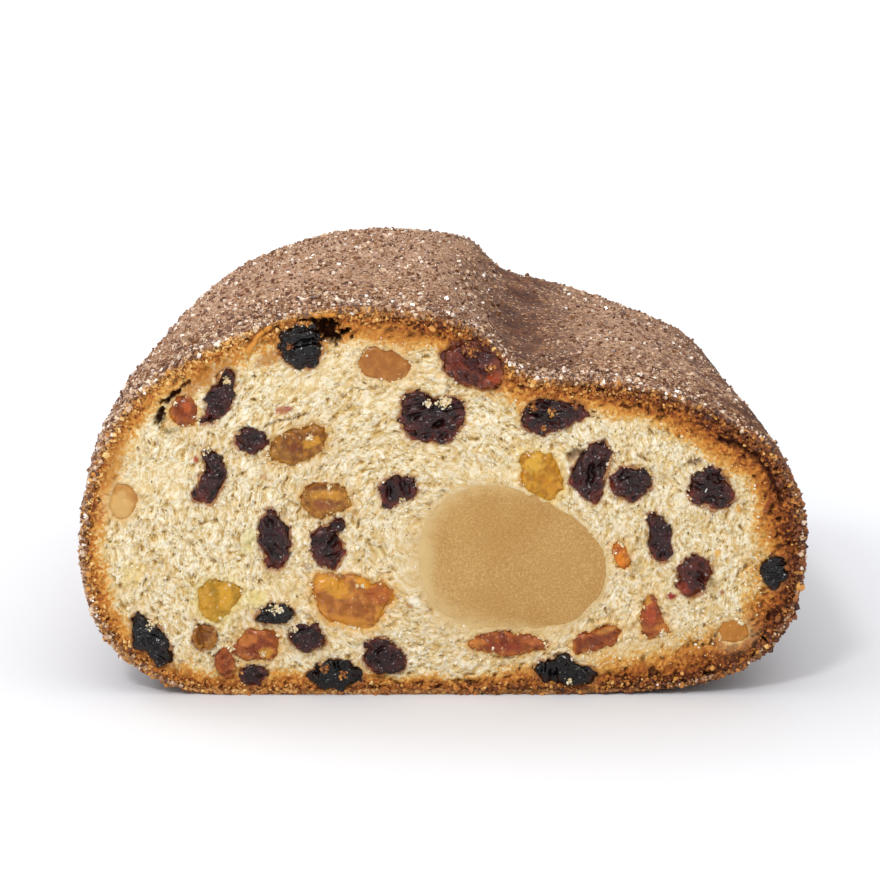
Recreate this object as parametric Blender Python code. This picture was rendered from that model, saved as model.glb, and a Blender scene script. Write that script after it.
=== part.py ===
"""Half of a marzipan stollen, cut straight across.

The loaf is one browned body of dough, folded so that a shoulder lies beside the hump.
A rope of marzipan runs through it, and raisins, sultanas, candied peel and almonds
show where the knife went. Metres, +Z up. The cut faces -Y, and the loaf rests on Z = 0.
"""
import math

import bmesh
import bpy
from mathutils import Matrix, Vector

MM = 0.001

# The whole loaf.
LOAF_LENGTH = 172 * MM
CUT_Y = -LOAF_LENGTH / 2
AROUND = 64

# Outline of the loaf at the cut, as points (across, up) in millimetres, clockwise
# from the middle of the base: left flank, hump, fold, shoulder, right flank.
CUT_OUTLINE = [
    (-14, 0.0), (-45, 0.0), (-57, 5.2), (-64.8, 13.5), (-67.4, 28), (-65.2, 42),
    (-59.2, 54), (-50, 62.5), (-36, 69.2), (-22, 73.2), (-3, 72.2), (7, 69.2),
    (15.5, 60.8), (26, 59.9), (38, 58.7), (50, 54), (60.8, 47.6), (66.2, 38),
    (67.6, 27), (65.4, 14), (57.5, 5.6), (45, 1.5), (18, 0.0),
]

# The body of the loaf: a little wider just behind the cut, then slimmer and higher.
# Stations run from the cut (0) to the far end (1).
LOAF_HEIGHT = 73.2 * MM
BODY_STATIONS = [0.0, 0.07, 0.15, 0.24, 0.33, 0.42, 0.51, 0.6]
BELLY = 0.028
BELLY_AT = 0.12
TAPER = 0.05
HUMP_RISE = 0.022

# The rounded far end: where it starts, the height that it closes to, and how
# boxy its sides, its top and its foot are (2 is a plain ellipse).
NOSE_START = 0.70
NOSE_CENTRE_Z = 20 * MM
NOSE_RINGS = 5
NOSE_SIDE_POWER = 2.4
NOSE_TOP_POWER = 2.2
NOSE_FOOT_POWER = 4.5

# The upper half, above the sides: the fold between hump and shoulder is deepest
# halfway to FOLD_CLOSES_AT and fills up behind it, the shoulder sinks from one
# station to the next, the hump leans, and a slow wave makes it uneven.
SIDE_Z = 40 * MM
FOLD_X = 16 * MM
FOLD_DRIFT = 4 * MM
FOLD_WIDTH = 9 * MM
FOLD_DEPTH = 4 * MM
FOLD_CLOSES_AT = 0.5
SHOULDER_X = 42 * MM
SHOULDER_WIDTH = 17 * MM
SHOULDER_SINK = 3 * MM
SHOULDER_SINKS_FROM = 0.15
SHOULDER_SINKS_TO = 0.65
LEAN = -3.5 * MM
LEAN_TURN = 1.3 * math.pi
WAVE = 0.7 * MM
WAVE_TURN = 9.0
WAVE_STEP = 14 * MM
WAVE_FROM = 0.25

# The base curls up a little at the right of the cut, and lies flat further back.
BASE_LIFT_BELOW = 2.5 * MM
BASE_LIFT_END = 0.25

# Pieces let into the dough: the gap round each, how far the fruit stands out of
# the cut, how far the pocket cutters reach in front of it, and how finely the
# fruit is faceted and creased.
GAP = 0.3 * MM
FRUIT_SIDE_GAP = 0.42 * MM
FRUIT_PROUD = 0.7 * MM
CUTTER_REACH = 3 * MM
BIG_FRUIT = 2.8 * MM
FRUIT_SIDES = 16
SMALL_FRUIT_SIDES = 12
DEEPEST_FRUIT = 5.2 * MM
SHRIVEL = 0.05

# The marzipan rope: its axis (across, up) and length, in metres.
ROPE_X = 13.3 * MM
ROPE_Z = 27.0 * MM
ROPE_LENGTH = 146 * MM
# Its section as it lies squeezed in the dough, in millimetres from the axis: upright on
# the left, full at the lower right, and sloping down from the top to the right.
ROPE_OUTLINE = [
    (17.3, -1.2), (15.9, 2.2), (13.3, 5.2), (9.8, 7.8), (5.6, 10.1), (1.4, 12.2),
    (-4.1, 13.4), (-9.2, 12.6), (-13.1, 10.6), (-15.8, 7.2), (-17.1, 2.4), (-17.1, -3.4),
    (-15.4, -8.6), (-11.8, -11.8), (-6.6, -13.3), (0.4, -13.8), (7.4, -13.6),
    (12.4, -12.0), (15.7, -8.4), (17.1, -4.6),
]
ROPE_SIDES = 36
ROPE_TAPER_START = 0.84
ROPE_STATIONS = [0, 0.25, 0.5, 0.7, ROPE_TAPER_START, 0.91, 0.96, 0.99]

# Every piece that shows at the cut, in millimetres: its name, then one to three
# overlapping ovals as (across, up, half width, half height, tilt in degrees).
FRUIT = [
    ("raisin_01", [(-25.7, 66.3, 3.6, 4.1, 0), (-27.8, 67.2, 2.3, 2.2, 0)]),
    ("raisin_02", [(5.6, 63.3, 5.8, 4.1, -8), (8.6, 60.0, 2.4, 2.2, 0)]),
    ("raisin_03", [(-40.8, 57.0, 2.3, 3.2, -20), (-39.4, 61.0, 1.7, 1.5, 0),
                   (-43.0, 53.2, 2.0, 1.2, 40)]),
    ("raisin_04", [(-35.3, 48.8, 3.0, 1.7, 14)]),
    ("raisin_05", [(-2.1, 52.7, 5.9, 4.0, -6), (-5.4, 56.6, 2.2, 2.3, 0),
                   (1.6, 55.1, 2.4, 2.2, 0)]),
    ("raisin_06", [(-42.0, 42.9, 1.5, 3.0, 8), (-43.1, 46.3, 1.6, 1.3, 0),
                   (-43.8, 39.1, 2.7, 2.2, 0)]),
    ("raisin_07", [(-9.3, 39.4, 2.2, 2.6, 0), (-6.5, 40.4, 2.0, 2.0, 0)]),
    ("raisin_08", [(-31.4, 30.4, 3.0, 3.4, 8), (-31.8, 34.0, 2.0, 2.0, 0),
                   (-30.9, 26.6, 2.1, 2.4, 0)]),
    ("raisin_09", [(-21.6, 29.6, 2.7, 3.0, 0), (-19.2, 32.8, 1.4, 1.8, 0),
                   (-21.0, 26.4, 2.6, 2.0, 0)]),
    ("raisin_10", [(-44.6, 11.3, 2.0, 2.2, 0)]),
    ("raisin_11", [(-40.7, 6.3, 1.4, 2.3, 0)]),
    ("raisin_12", [(-35.6, 3.7, 2.5, 1.6, 0)]),
    ("raisin_13", [(-31.4, 15.7, 3.6, 1.5, 14)]),
    ("raisin_14", [(-25.4, 11.2, 3.3, 2.1, -8)]),
    ("raisin_15", [(-10.9, 6.9, 3.9, 2.6, -6), (-12.3, 8.9, 2.2, 2.0, 0)]),
    ("raisin_16", [(-20.2, 3.6, 4.8, 2.5, -4), (-19.4, 5.8, 2.0, 1.5, 0)]),
    ("raisin_17", [(-55.3, 11.4, 3.1, 3.0, 0), (-52.6, 7.9, 2.2, 2.9, 24),
                   (-56.9, 14.3, 1.4, 1.6, 0)]),
    ("raisin_18", [(21.6, 4.5, 4.2, 2.2, 0), (26.2, 3.9, 3.3, 2.0, 0),
                   (22.6, 6.4, 1.6, 1.9, 0)]),
    ("raisin_19", [(27.1, 42.2, 2.9, 4.5, 6), (29.6, 46.8, 2.4, 2.0, 0)]),
    ("raisin_20", [(35.0, 40.8, 3.9, 3.0, 0)]),
    ("raisin_21", [(18.3, 53.6, 3.4, 3.4, 0), (23.7, 54.0, 3.5, 2.4, 0)]),
    ("raisin_22", [(49.6, 39.8, 3.7, 3.5, 0), (52.9, 37.7, 1.5, 1.3, 0)]),
    ("raisin_23", [(40.7, 30.4, 1.4, 3.2, -6), (39.6, 33.8, 1.3, 1.7, 0),
                   (40.6, 27.5, 1.9, 1.4, 0)]),
    ("raisin_24", [(47.0, 23.2, 2.8, 3.8, -8)]),
    ("raisin_25", [(62.0, 23.9, 2.0, 3.1, 0)]),
    ("sultana_01", [(-26.6, 48.0, 6.2, 2.9, 22)]),
    ("sultana_02", [(-21.4, 37.8, 4.8, 2.8, 0), (-22.9, 35.9, 2.2, 2.1, 0)]),
    ("sultana_03", [(-34.8, 9.4, 4.6, 3.0, 8)]),
    ("sultana_04", [(11.8, 9.9, 8.0, 2.2, 0)]),
    ("apricot_01", [(-17.2, 18.2, 7.2, 5.2, -6), (-10.9, 19.8, 2.5, 2.2, 0),
                    (-22.4, 21.6, 2.6, 2.4, 0)]),
    ("citron_01", [(18.3, 42.4, 3.4, 3.8, -28), (16.6, 44.6, 2.3, 2.5, 0),
                   (19.6, 40.4, 2.8, 2.9, 0)]),
    ("lemon_peel_01", [(-42.5, 18.4, 3.4, 4.2, 0), (-39.7, 19.8, 2.3, 2.0, 0)]),
    ("orange_peel_01", [(-47.6, 54.4, 2.6, 2.6, 0)]),
    ("orange_peel_02", [(29.1, 10.7, 5.2, 1.9, 24)]),
    ("orange_peel_03", [(33.3, 26.7, 1.4, 2.6, 20)]),
    ("orange_peel_04", [(39.3, 15.1, 2.1, 4.1, 0), (41.9, 13.3, 2.5, 1.5, 0)]),
    ("almond_01", [(-10.9, 62.9, 5.2, 3.1, -10)]),
    ("almond_02", [(-59.3, 37.2, 2.7, 3.4, 0)]),
    ("almond_03", [(55.1, 12.5, 2.7, 2.2, 0)]),
]

# The one piece that is pressed into the marzipan as well as the dough.
PIECE_IN_MARZIPAN = "citron_01"

# A hollow left by steam under the crust, beside the first raisin.
STEAM_HOLLOW = [(-21.2, 68.8, 3.6, 2.6, -6)]

# The sharpest edge that is still shaded smooth.
SMOOTH_BELOW = math.radians(40)

# Linear colour and roughness of each finish.
FINISHES = {
    "dough": ((0.78, 0.62, 0.37), 0.85),
    "marzipan": ((0.54, 0.32, 0.12), 0.60),
    "raisin": ((0.035, 0.018, 0.016), 0.35),
    "sultana": ((0.40, 0.16, 0.04), 0.30),
    "apricot": ((0.55, 0.20, 0.04), 0.30),
    "citron": ((0.62, 0.36, 0.06), 0.35),
    "lemon_peel": ((0.60, 0.32, 0.04), 0.35),
    "orange_peel": ((0.56, 0.20, 0.05), 0.35),
    "almond": ((0.58, 0.32, 0.12), 0.60),
}


def clear_scene():
    for item in list(bpy.data.objects):
        bpy.data.objects.remove(item, do_unlink=True)


def collection(name):
    group = bpy.data.collections.new(name)
    bpy.context.scene.collection.children.link(group)
    return group


def finish(name):
    colour, roughness = FINISHES[name]
    material = bpy.data.materials.new(name)
    material.use_nodes = True
    shader = material.node_tree.nodes["Principled BSDF"]
    shader.inputs["Base Color"].default_value = (*colour, 1.0)
    shader.inputs["Roughness"].default_value = roughness
    shader.inputs["Metallic"].default_value = 0.0
    return material


def make_object(name, mesh_data, group, material=None):
    mesh = bpy.data.meshes.new(name)
    mesh_data.to_mesh(mesh)
    mesh_data.free()
    item = bpy.data.objects.new(name, mesh)
    group.objects.link(item)
    if material:
        mesh.materials.append(material)
    return item


def mark_as_cutter(item):
    item.hide_render = True
    item.display_type = "WIRE"


def smooth_closed_curve(points, count):
    """Points at equal steps along a smooth closed curve through the given points."""
    fine = []
    steps = 16
    total = len(points)
    for i in range(total):
        before, start, end, after = (Vector(points[(i + k) % total]) for k in (-1, 0, 1, 2))
        for j in range(steps):
            s = j / steps
            fine.append(0.5 * (2 * start + (end - before) * s
                               + (2 * before - 5 * start + 4 * end - after) * s ** 2
                               + (3 * start - before - 3 * end + after) * s ** 3))
    lengths = [0.0]
    for i in range(len(fine)):
        lengths.append(lengths[-1] + (fine[(i + 1) % len(fine)] - fine[i]).length)
    result = []
    index = 0
    for i in range(count):
        target = lengths[-1] * i / count
        while lengths[index + 1] < target:
            index += 1
        part = (target - lengths[index]) / (lengths[index + 1] - lengths[index])
        result.append(fine[index].lerp(fine[(index + 1) % len(fine)], part))
    return result


def superellipse_fall(u, power):
    """1 while u is small, falling to 0 at u = 1 like the quarter of a rounded box."""
    return max(0.0, 1 - max(0.0, u) ** power) ** (1 / power)


def ease(value):
    """0 below 0, 1 above 1, and a smooth step between."""
    value = min(1.0, max(0.0, value))
    return value * value * (3 - 2 * value)


def loaf_point(x, z, t):
    """Carry a point of the cut outline to the station t along the loaf."""
    nose = (t - NOSE_START) / (1 - NOSE_START)
    if x > 0 and z < BASE_LIFT_BELOW:
        z *= 1 - ease(t / BASE_LIFT_END)

    over = max(0.0, z - SIDE_Z) / (LOAF_HEIGHT - SIDE_Z)
    fold = math.exp(-((x - FOLD_X - FOLD_DRIFT * t) / FOLD_WIDTH) ** 2)
    z -= FOLD_DEPTH * fold * over * math.sin(math.pi * min(1.5, t / FOLD_CLOSES_AT))
    shoulder = math.exp(-((x - SHOULDER_X) / SHOULDER_WIDTH) ** 2)
    sinking = ease((t - SHOULDER_SINKS_FROM) / (SHOULDER_SINKS_TO - SHOULDER_SINKS_FROM))
    z -= SHOULDER_SINK * shoulder * over * sinking
    x += LEAN * math.sin(LEAN_TURN * t) * over
    wave = WAVE * math.sin(WAVE_TURN * t + x / WAVE_STEP) * over * min(1, t / WAVE_FROM)

    girth = 1 + BELLY * ease(t / BELLY_AT) - TAPER * ease((t - BELLY_AT) / (NOSE_START - BELLY_AT))
    top = (1 + HUMP_RISE * ease(t / NOSE_START)) * superellipse_fall(nose, NOSE_TOP_POWER)
    foot = superellipse_fall(nose, NOSE_FOOT_POWER)
    x *= girth * superellipse_fall(nose, NOSE_SIDE_POWER)
    z = NOSE_CENTRE_Z + (z - NOSE_CENTRE_Z) * (top if z > NOSE_CENTRE_Z else foot) + wave * top
    return x, max(0.0, z)


def loaf_stations():
    """Even steps along the body, then rings that crowd towards the tip of the nose."""
    turns = [math.pi / 2 * k / (NOSE_RINGS + 1) for k in range(NOSE_RINGS + 1)]
    return BODY_STATIONS + [NOSE_START + (1 - NOSE_START) * math.sin(turn) for turn in turns]


def loft(rings, end_point):
    """Join rings of points into a skin, flat at the first ring, closed to a point."""
    skin = bmesh.new()
    rows = [[skin.verts.new(point) for point in ring] for ring in rings]
    tip = skin.verts.new(end_point)
    count = len(rows[0])
    for first, second in zip(rows, rows[1:]):
        for i in range(count):
            j = (i + 1) % count
            skin.faces.new((first[i], first[j], second[j], second[i]))
    for i in range(count):
        skin.faces.new((rows[-1][i], rows[-1][(i + 1) % count], tip))
    skin.faces.new(rows[0])
    bmesh.ops.recalc_face_normals(skin, faces=skin.faces)
    return skin


def loaf_skin():
    outline = smooth_closed_curve([(x * MM, z * MM) for x, z in CUT_OUTLINE], AROUND)
    body_start = CUT_Y + FRUIT_PROUD
    body_length = LOAF_LENGTH - FRUIT_PROUD
    rings = []
    for t in loaf_stations():
        ring = []
        for point in outline:
            x, z = loaf_point(point.x, max(0.0, point.y), t)
            ring.append(Vector((x, body_start + body_length * t, z)))
        rings.append(ring)
    return loft(rings, Vector((0, CUT_Y + LOAF_LENGTH, NOSE_CENTRE_Z)))


def rope_skin(extra, front):
    """The marzipan rope, or with extra room the bore that it lies in."""
    length = ROPE_LENGTH + extra
    start = CUT_Y + FRUIT_PROUD
    outline = smooth_closed_curve(ROPE_OUTLINE, ROPE_SIDES)
    rings = []
    for t in ROPE_STATIONS:
        taper = superellipse_fall((t - ROPE_TAPER_START) / (1 - ROPE_TAPER_START), 2)
        y = start + length * t if t else front
        ring = []
        for point in outline:
            reach = point * MM * taper + point.normalized() * extra
            ring.append(Vector((ROPE_X + reach.x, y, ROPE_Z + reach.y)))
        rings.append(ring)
    return loft(rings, Vector((ROPE_X, start + length, ROPE_Z)))


def reach_of_ovals(ovals, centre, angle):
    """How far the union of the ovals reaches from the centre in one direction."""
    direction = Vector((math.cos(angle), math.sin(angle)))
    reach = 0.0
    for x, z, half_width, half_height, tilt in ovals:
        turn = Matrix.Rotation(-math.radians(tilt), 2)
        start = turn @ (centre - Vector((x, z)))
        ray = turn @ direction
        a = (ray.x / half_width) ** 2 + (ray.y / half_height) ** 2
        b = start.x * ray.x / half_width ** 2 + start.y * ray.y / half_height ** 2
        c = (start.x / half_width) ** 2 + (start.y / half_height) ** 2 - 1
        inside = b * b - a * c
        if inside > 0:
            reach = max(reach, (-b + math.sqrt(inside)) / a)
    return reach


def fruit_skin(ovals, extra, front, shrivel):
    """A lens-shaped piece: the ovals' outline, deep into the dough and low in front."""
    x, z, half_width, half_height, tilt = ovals[0]
    centre = Vector((x, z))
    depth = min(DEEPEST_FRUIT, math.sqrt(half_width * half_height) * MM) + extra
    sides = FRUIT_SIDES if max(half_width, half_height) * MM > BIG_FRUIT else SMALL_FRUIT_SIDES
    skin = bmesh.new()
    bmesh.ops.create_uvsphere(skin, u_segments=sides, v_segments=4, radius=1)
    for vertex in skin.verts:
        across, up, out = vertex.co
        ring = math.hypot(across, up)
        turn = math.atan2(up * half_height, across * half_width) + math.radians(tilt)
        crease = 1 + shrivel * math.sin(3 * turn + x) * math.cos(2 * turn + z)
        radius = ring * (reach_of_ovals(ovals, centre, turn) * MM * crease + extra)
        vertex.co = Vector((x * MM + radius * math.cos(turn),
                            CUT_Y + FRUIT_PROUD - out * (front if out > 0 else depth),
                            z * MM + radius * math.sin(turn)))
    return skin


def subtract(item, cutter):
    cut = item.modifiers.new("cut for " + cutter.name, "BOOLEAN")
    cut.operation = "DIFFERENCE"
    cut.solver = "EXACT"
    cut.object = cutter


def build():
    clear_scene()
    stollen = collection("stollen")
    cutters = collection("cutters")
    finishes = {name: finish(name) for name in FINISHES}

    dough = make_object("dough", loaf_skin(), stollen, finishes["dough"])
    rope = make_object("marzipan", rope_skin(0, CUT_Y + FRUIT_PROUD), stollen,
                       finishes["marzipan"])
    bore = make_object("bore_for_marzipan", rope_skin(GAP, CUT_Y - CUTTER_REACH), cutters)
    mark_as_cutter(bore)
    subtract(dough, bore)

    for name, ovals in FRUIT:
        kind = name.rsplit("_", 1)[0]
        make_object(name, fruit_skin(ovals, 0, FRUIT_PROUD, SHRIVEL), stollen,
                    finishes[kind])
        pocket = make_object("pocket_for_" + name,
                             fruit_skin(ovals, FRUIT_SIDE_GAP, CUTTER_REACH, SHRIVEL),
                             cutters)
        mark_as_cutter(pocket)
        subtract(dough, pocket)
        if name == PIECE_IN_MARZIPAN:
            subtract(rope, pocket)

    hollow = make_object("steam_hollow",
                         fruit_skin(STEAM_HOLLOW, 0, CUTTER_REACH, 0), cutters)
    mark_as_cutter(hollow)
    subtract(dough, hollow)

    for item in stollen.objects:
        item.data.shade_smooth()
        item.data.set_sharp_from_angle(angle=SMOOTH_BELOW)


build()
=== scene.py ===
# %% [markdown]
# # Half a marzipan stollen
# A stollen is a heavy festive fruit loaf, folded over a rope of marzipan, baked brown and
# rolled in sugar. This lesson finishes one that was cut straight across, so that the crumb,
# the marzipan and the fruit show. Another script made its plain solids. Here each solid is
# replaced by a piece with the real surface, in the same place and at the same size.

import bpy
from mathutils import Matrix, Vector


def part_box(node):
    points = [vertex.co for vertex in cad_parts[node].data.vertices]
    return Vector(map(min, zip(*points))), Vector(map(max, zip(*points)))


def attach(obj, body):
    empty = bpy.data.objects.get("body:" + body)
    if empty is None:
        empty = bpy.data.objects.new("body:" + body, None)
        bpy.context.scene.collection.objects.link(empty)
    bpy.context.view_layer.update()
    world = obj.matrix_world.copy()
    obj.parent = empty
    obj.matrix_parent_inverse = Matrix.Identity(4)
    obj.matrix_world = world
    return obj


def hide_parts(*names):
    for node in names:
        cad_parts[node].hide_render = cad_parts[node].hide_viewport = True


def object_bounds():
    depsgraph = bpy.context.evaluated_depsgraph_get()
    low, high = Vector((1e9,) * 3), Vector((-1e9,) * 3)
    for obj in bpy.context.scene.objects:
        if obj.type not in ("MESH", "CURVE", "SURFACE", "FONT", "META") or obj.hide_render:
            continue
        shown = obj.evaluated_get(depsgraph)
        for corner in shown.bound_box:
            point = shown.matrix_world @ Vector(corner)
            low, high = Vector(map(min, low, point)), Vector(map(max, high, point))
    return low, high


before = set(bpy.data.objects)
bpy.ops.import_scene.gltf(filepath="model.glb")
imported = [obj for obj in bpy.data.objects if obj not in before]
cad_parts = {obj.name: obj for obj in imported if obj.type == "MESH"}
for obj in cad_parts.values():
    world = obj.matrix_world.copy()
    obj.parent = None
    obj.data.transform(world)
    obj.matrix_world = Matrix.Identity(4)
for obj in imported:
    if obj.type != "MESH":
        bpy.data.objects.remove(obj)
CAD_BOX = [list(corner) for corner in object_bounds()]

# %% [markdown]
# ## Units, places and random numbers
# Blender works in metres, and bread is easier to think about in millimetres, so every size
# below is a number times MM. The places come from the solids: the cut lies on the front face
# of the dough, and the rest is measured from there. One seeded generator gives the same
# loaf on every run.

# %% Units and places
import math

import bmesh
import bpy
import numpy as np
from mathutils import Matrix, Vector, kdtree, noise
from mathutils.bvhtree import BVHTree

MM = 0.001
chance = np.random.default_rng(24)

DOUGH_LOW, DOUGH_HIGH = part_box("dough")
ROPE_LOW, ROPE_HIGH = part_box("marzipan")
CUT_Y = DOUGH_LOW.y
HEART = Vector((0, CUT_Y, 30 * MM))
print("the cut lies at y =", round(CUT_Y / MM, 2), "mm")

# %% [markdown]
# ## Camera and light
# The loaf is seen a little from above and straight at the cut, through a long lens, which
# keeps the cut face nearly flat. The room is a dome of light, brightest overhead and dim
# near the floor, so that dark fruit mirrors something dark and stays black. Two soft lamps
# on the left add the glints, and the one behind grazes the sugar and makes it sparkle. The
# floor is wide enough to fill the view.

# %% Camera and light
CAMERA_DISTANCE = 450 * MM
CAMERA_RISE = math.radians(11.5)
AIM = Vector((-0.4 * MM, CUT_Y, 49 * MM))
LENS = 99.7


def look(item, place, target):
    item.location = place
    item.rotation_euler = (target - place).to_track_quat("-Z", "Y").to_euler()
    bpy.context.scene.collection.objects.link(item)


camera = bpy.data.objects.new("camera", bpy.data.cameras.new("camera"))
camera.data.lens = LENS
camera.data.clip_end = 200  # metres, well past the far edge of the floor
back = Vector((0, -math.cos(CAMERA_RISE), math.sin(CAMERA_RISE)))
look(camera, AIM + back * CAMERA_DISTANCE, AIM)
bpy.context.scene.camera = camera

LAMPS = {
    "lamp_front": ((-0.32, -0.85, 0.85), 0.16, 4.2),
    "lamp_back": ((-0.55, 0.25, 0.55), 0.30, 1.2),
}
for name, (place, width, power) in LAMPS.items():
    lamp = bpy.data.lights.new(name, "AREA")
    lamp.size = width
    lamp.energy = power
    look(bpy.data.objects.new(name, lamp), Vector(place), Vector((0, CUT_Y, 40 * MM)))

bpy.context.scene.view_settings.view_transform = "Standard"
print("camera at", [round(v, 3) for v in camera.location], "with", len(LAMPS), "lamps")

# %% [markdown]
# ## Small tools for materials
# A material is a graph of nodes. One helper adds a node, sets its sockets and links it, and
# another turns the hex colours that painters use into the linear colours that light needs.
# Patterns are sized in millimetres, so a texture's scale is one over the real size.

# %% Tools for materials
def linear(code):
    values = [int(code[i:i + 2], 16) / 255 for i in (1, 3, 5)]
    return [v / 12.92 if v <= 0.04045 else ((v + 0.055) / 1.055) ** 2.4 for v in values] + [1]


def live_output(item):
    """The first output that a node's settings leave in use."""
    return next(socket for socket in item.outputs if socket.enabled)


def add(tree, kind, inputs=None, stops=None, **settings):
    """Add a shader node. inputs maps its sockets to numbers, to hex colours, or to the nodes
    or sockets that feed them; stops are the places and colours of a ramp."""
    item = tree.nodes.new("ShaderNode" + kind)
    for name, value in settings.items():
        setattr(item, name, value)
    for socket, value in (inputs or {}).items():
        if isinstance(value, bpy.types.Node):
            value = live_output(value)
        if isinstance(value, bpy.types.NodeSocket):
            tree.links.new(value, item.inputs[socket])
        else:
            item.inputs[socket].default_value = linear(value) if isinstance(value, str) else value
    if stops:
        ramp = item.color_ramp
        while len(ramp.elements) < len(stops):
            ramp.elements.new(1)
        for element, (place, code) in zip(ramp.elements, stops):
            element.position = place
            element.color = linear(code)
    return item


def new_material(name, **surface):
    """A material, its node tree and its shader, with the shader's own values set."""
    material = bpy.data.materials.new(name)
    material.use_nodes = True
    shader = material.node_tree.nodes["Principled BSDF"]
    for socket, value in surface.items():
        shader.inputs[socket.replace("_", " ")].default_value = value
    return material, material.node_tree, shader


def layered(tree, colour, layers):
    """Lay colours over a first one, each by its own amount, and return the last node."""
    for amount, over in layers:
        colour = add(tree, "Mix", {0: amount, 6: colour, 7: over}, data_type="RGBA")
    return colour


def finish_surface(tree, shader, colour, height, depth, strength=1.0):
    """Feed the shader its colour, and a bump of the given depth from a pattern of heights."""
    bump = add(tree, "Bump", {"Height": height, "Distance": depth, "Strength": strength})
    tree.links.new(live_output(colour), shader.inputs["Base Color"])
    tree.links.new(bump.outputs["Normal"], shader.inputs["Normal"])


def per_mm(size):
    """Texture scale that gives features of this many millimetres."""
    return 1 / (size * MM)


# %% The dome of light
OVERHEAD = 1.26
AT_FLOOR = 0.22
world = bpy.data.worlds.new("studio dome")
world.use_nodes = True
bpy.context.scene.world = world
tree = world.node_tree
direction = add(tree, "TexCoord").outputs["Generated"]
rise = add(tree, "SeparateXYZ", {"Vector": direction}).outputs["Z"]
strength = add(tree, "MapRange", {0: rise, 1: 0.0, 2: 0.75, 3: AT_FLOOR, 4: OVERHEAD})
tree.links.new(strength.outputs[0], tree.nodes["Background"].inputs["Strength"])
tree.nodes["Background"].inputs["Color"].default_value = (0.995, 0.997, 1.0, 1)

# %% The floor
# The card is a little greyer under the loaf than far away, as a lit sweep of paper looks: this is
# painted shade.
floor_material, tree, shader = new_material("matt white card", Roughness=0.8)
spot = add(tree, "TexCoord").outputs["Object"]
away = add(tree, "VectorMath", {0: spot}, operation="LENGTH")
pale = add(tree, "MapRange", {0: away, 1: 100 * MM, 2: 600 * MM})
card = add(tree, "Mix", {0: pale, 6: "#E4E5E9", 7: "#FFFFFF"}, data_type="RGBA")
tree.links.new(card.outputs[2], shader.inputs["Base Color"])
FLOOR_SIZE = 40.0


def mesh_from(bm, name):
    """Turn a bmesh into a mesh, and free it."""
    mesh = bpy.data.meshes.new(name)
    bm.to_mesh(mesh)
    bm.free()
    return mesh


card_grid = bmesh.new()
bmesh.ops.create_grid(card_grid, x_segments=1, y_segments=1, size=FLOOR_SIZE / 2)
floor = bpy.data.objects.new("floor", mesh_from(card_grid, "floor"))
floor.data.materials.append(floor_material)
bpy.context.scene.collection.objects.link(floor)

# %% [markdown]
# ## Small tools for meshes
# Baked things have no straight lines, so most pieces start as a regular grid that is bent
# to its shape and then roughened with noise. These helpers turn a bmesh into an object,
# read and write all its points at once, and work out noise of a given size at many points.

# %% Tools for meshes
def register(mesh, name, material, nodes=()):
    mesh.materials.clear()
    mesh.materials.append(material)
    mesh.shade_smooth()
    item = bpy.data.objects.new(name, mesh)
    bpy.context.scene.collection.objects.link(item)
    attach(item, "root")
    if nodes:
        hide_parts(*nodes)
    print(name, "has", sum(len(p.vertices) - 2 for p in mesh.polygons), "triangles")
    return item


def bent_grid(name, columns, rows, bend):
    """A mesh grid that closes round a piece. bend maps the column and row number of every
    point to its place. Doubles are merged, so the seam and the pinched ends are closed."""
    bm = bmesh.new()
    bmesh.ops.create_grid(bm, x_segments=columns, y_segments=rows - 1, size=1)
    mesh = bpy.data.meshes.new(name)
    bm.to_mesh(mesh)
    flat = points_of(mesh)
    column = np.rint((flat[:, 0] + 1) / 2 * columns).astype(int) % columns
    row = np.rint((flat[:, 1] + 1) / 2 * (rows - 1)).astype(int)
    place_points(mesh, bend(column, row))
    bm.clear()
    bm.from_mesh(mesh)
    bmesh.ops.remove_doubles(bm, verts=bm.verts, dist=2e-6)
    bmesh.ops.recalc_face_normals(bm, faces=bm.faces)
    bm.to_mesh(mesh)
    bm.free()
    return mesh


def points_of(mesh):
    flat = np.empty(len(mesh.vertices) * 3)
    mesh.vertices.foreach_get("co", flat)
    return flat.reshape(-1, 3)


def place_points(mesh, points):
    mesh.vertices.foreach_set("co", np.ascontiguousarray(points, dtype=np.float32).ravel())
    mesh.update()


def normals_of(mesh):
    flat = np.empty(len(mesh.vertices) * 3, dtype=np.float32)
    mesh.vertex_normals.foreach_get("vector", flat)
    return flat.reshape(-1, 3).astype(float)


def paint(mesh, name, values):
    """Store one number for each point, for a material to read by name."""
    layer = mesh.attributes.new(name, "FLOAT", "POINT")
    layer.data.foreach_set("value", np.asarray(values, dtype=np.float32))


def ease(values, low, high):
    """0 below low, 1 above high, and a smooth step between."""
    part = np.clip((np.asarray(values, dtype=float) - low) / (high - low), 0, 1)
    return part * part * (3 - 2 * part)


def polar(points, centre):
    x, z = points[:, 0] - centre.x, points[:, 2] - centre.z
    return np.hypot(x, z), np.arctan2(z, x) % (2 * math.pi)


def oval_fall(points, x, z, half_width, half_height, tilt=0.0):
    """1 in the middle of an oval on the cut, 0 at its edge, below 0 outside; sizes in mm."""
    turn = math.radians(tilt)
    across, up = points[:, 0] / MM - x, points[:, 2] / MM - z
    a = (across * math.cos(turn) + up * math.sin(turn)) / half_width
    b = (up * math.cos(turn) - across * math.sin(turn)) / half_height
    return 1 - np.hypot(a, b)


def soft_noise(points, size, octaves=2):
    """Smooth noise, about -1 to 1, with lumps as large as size."""
    return np.array([noise.fractal(p, 1.0, 2.0, octaves)
                     for p in (points / size).tolist()])


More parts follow.
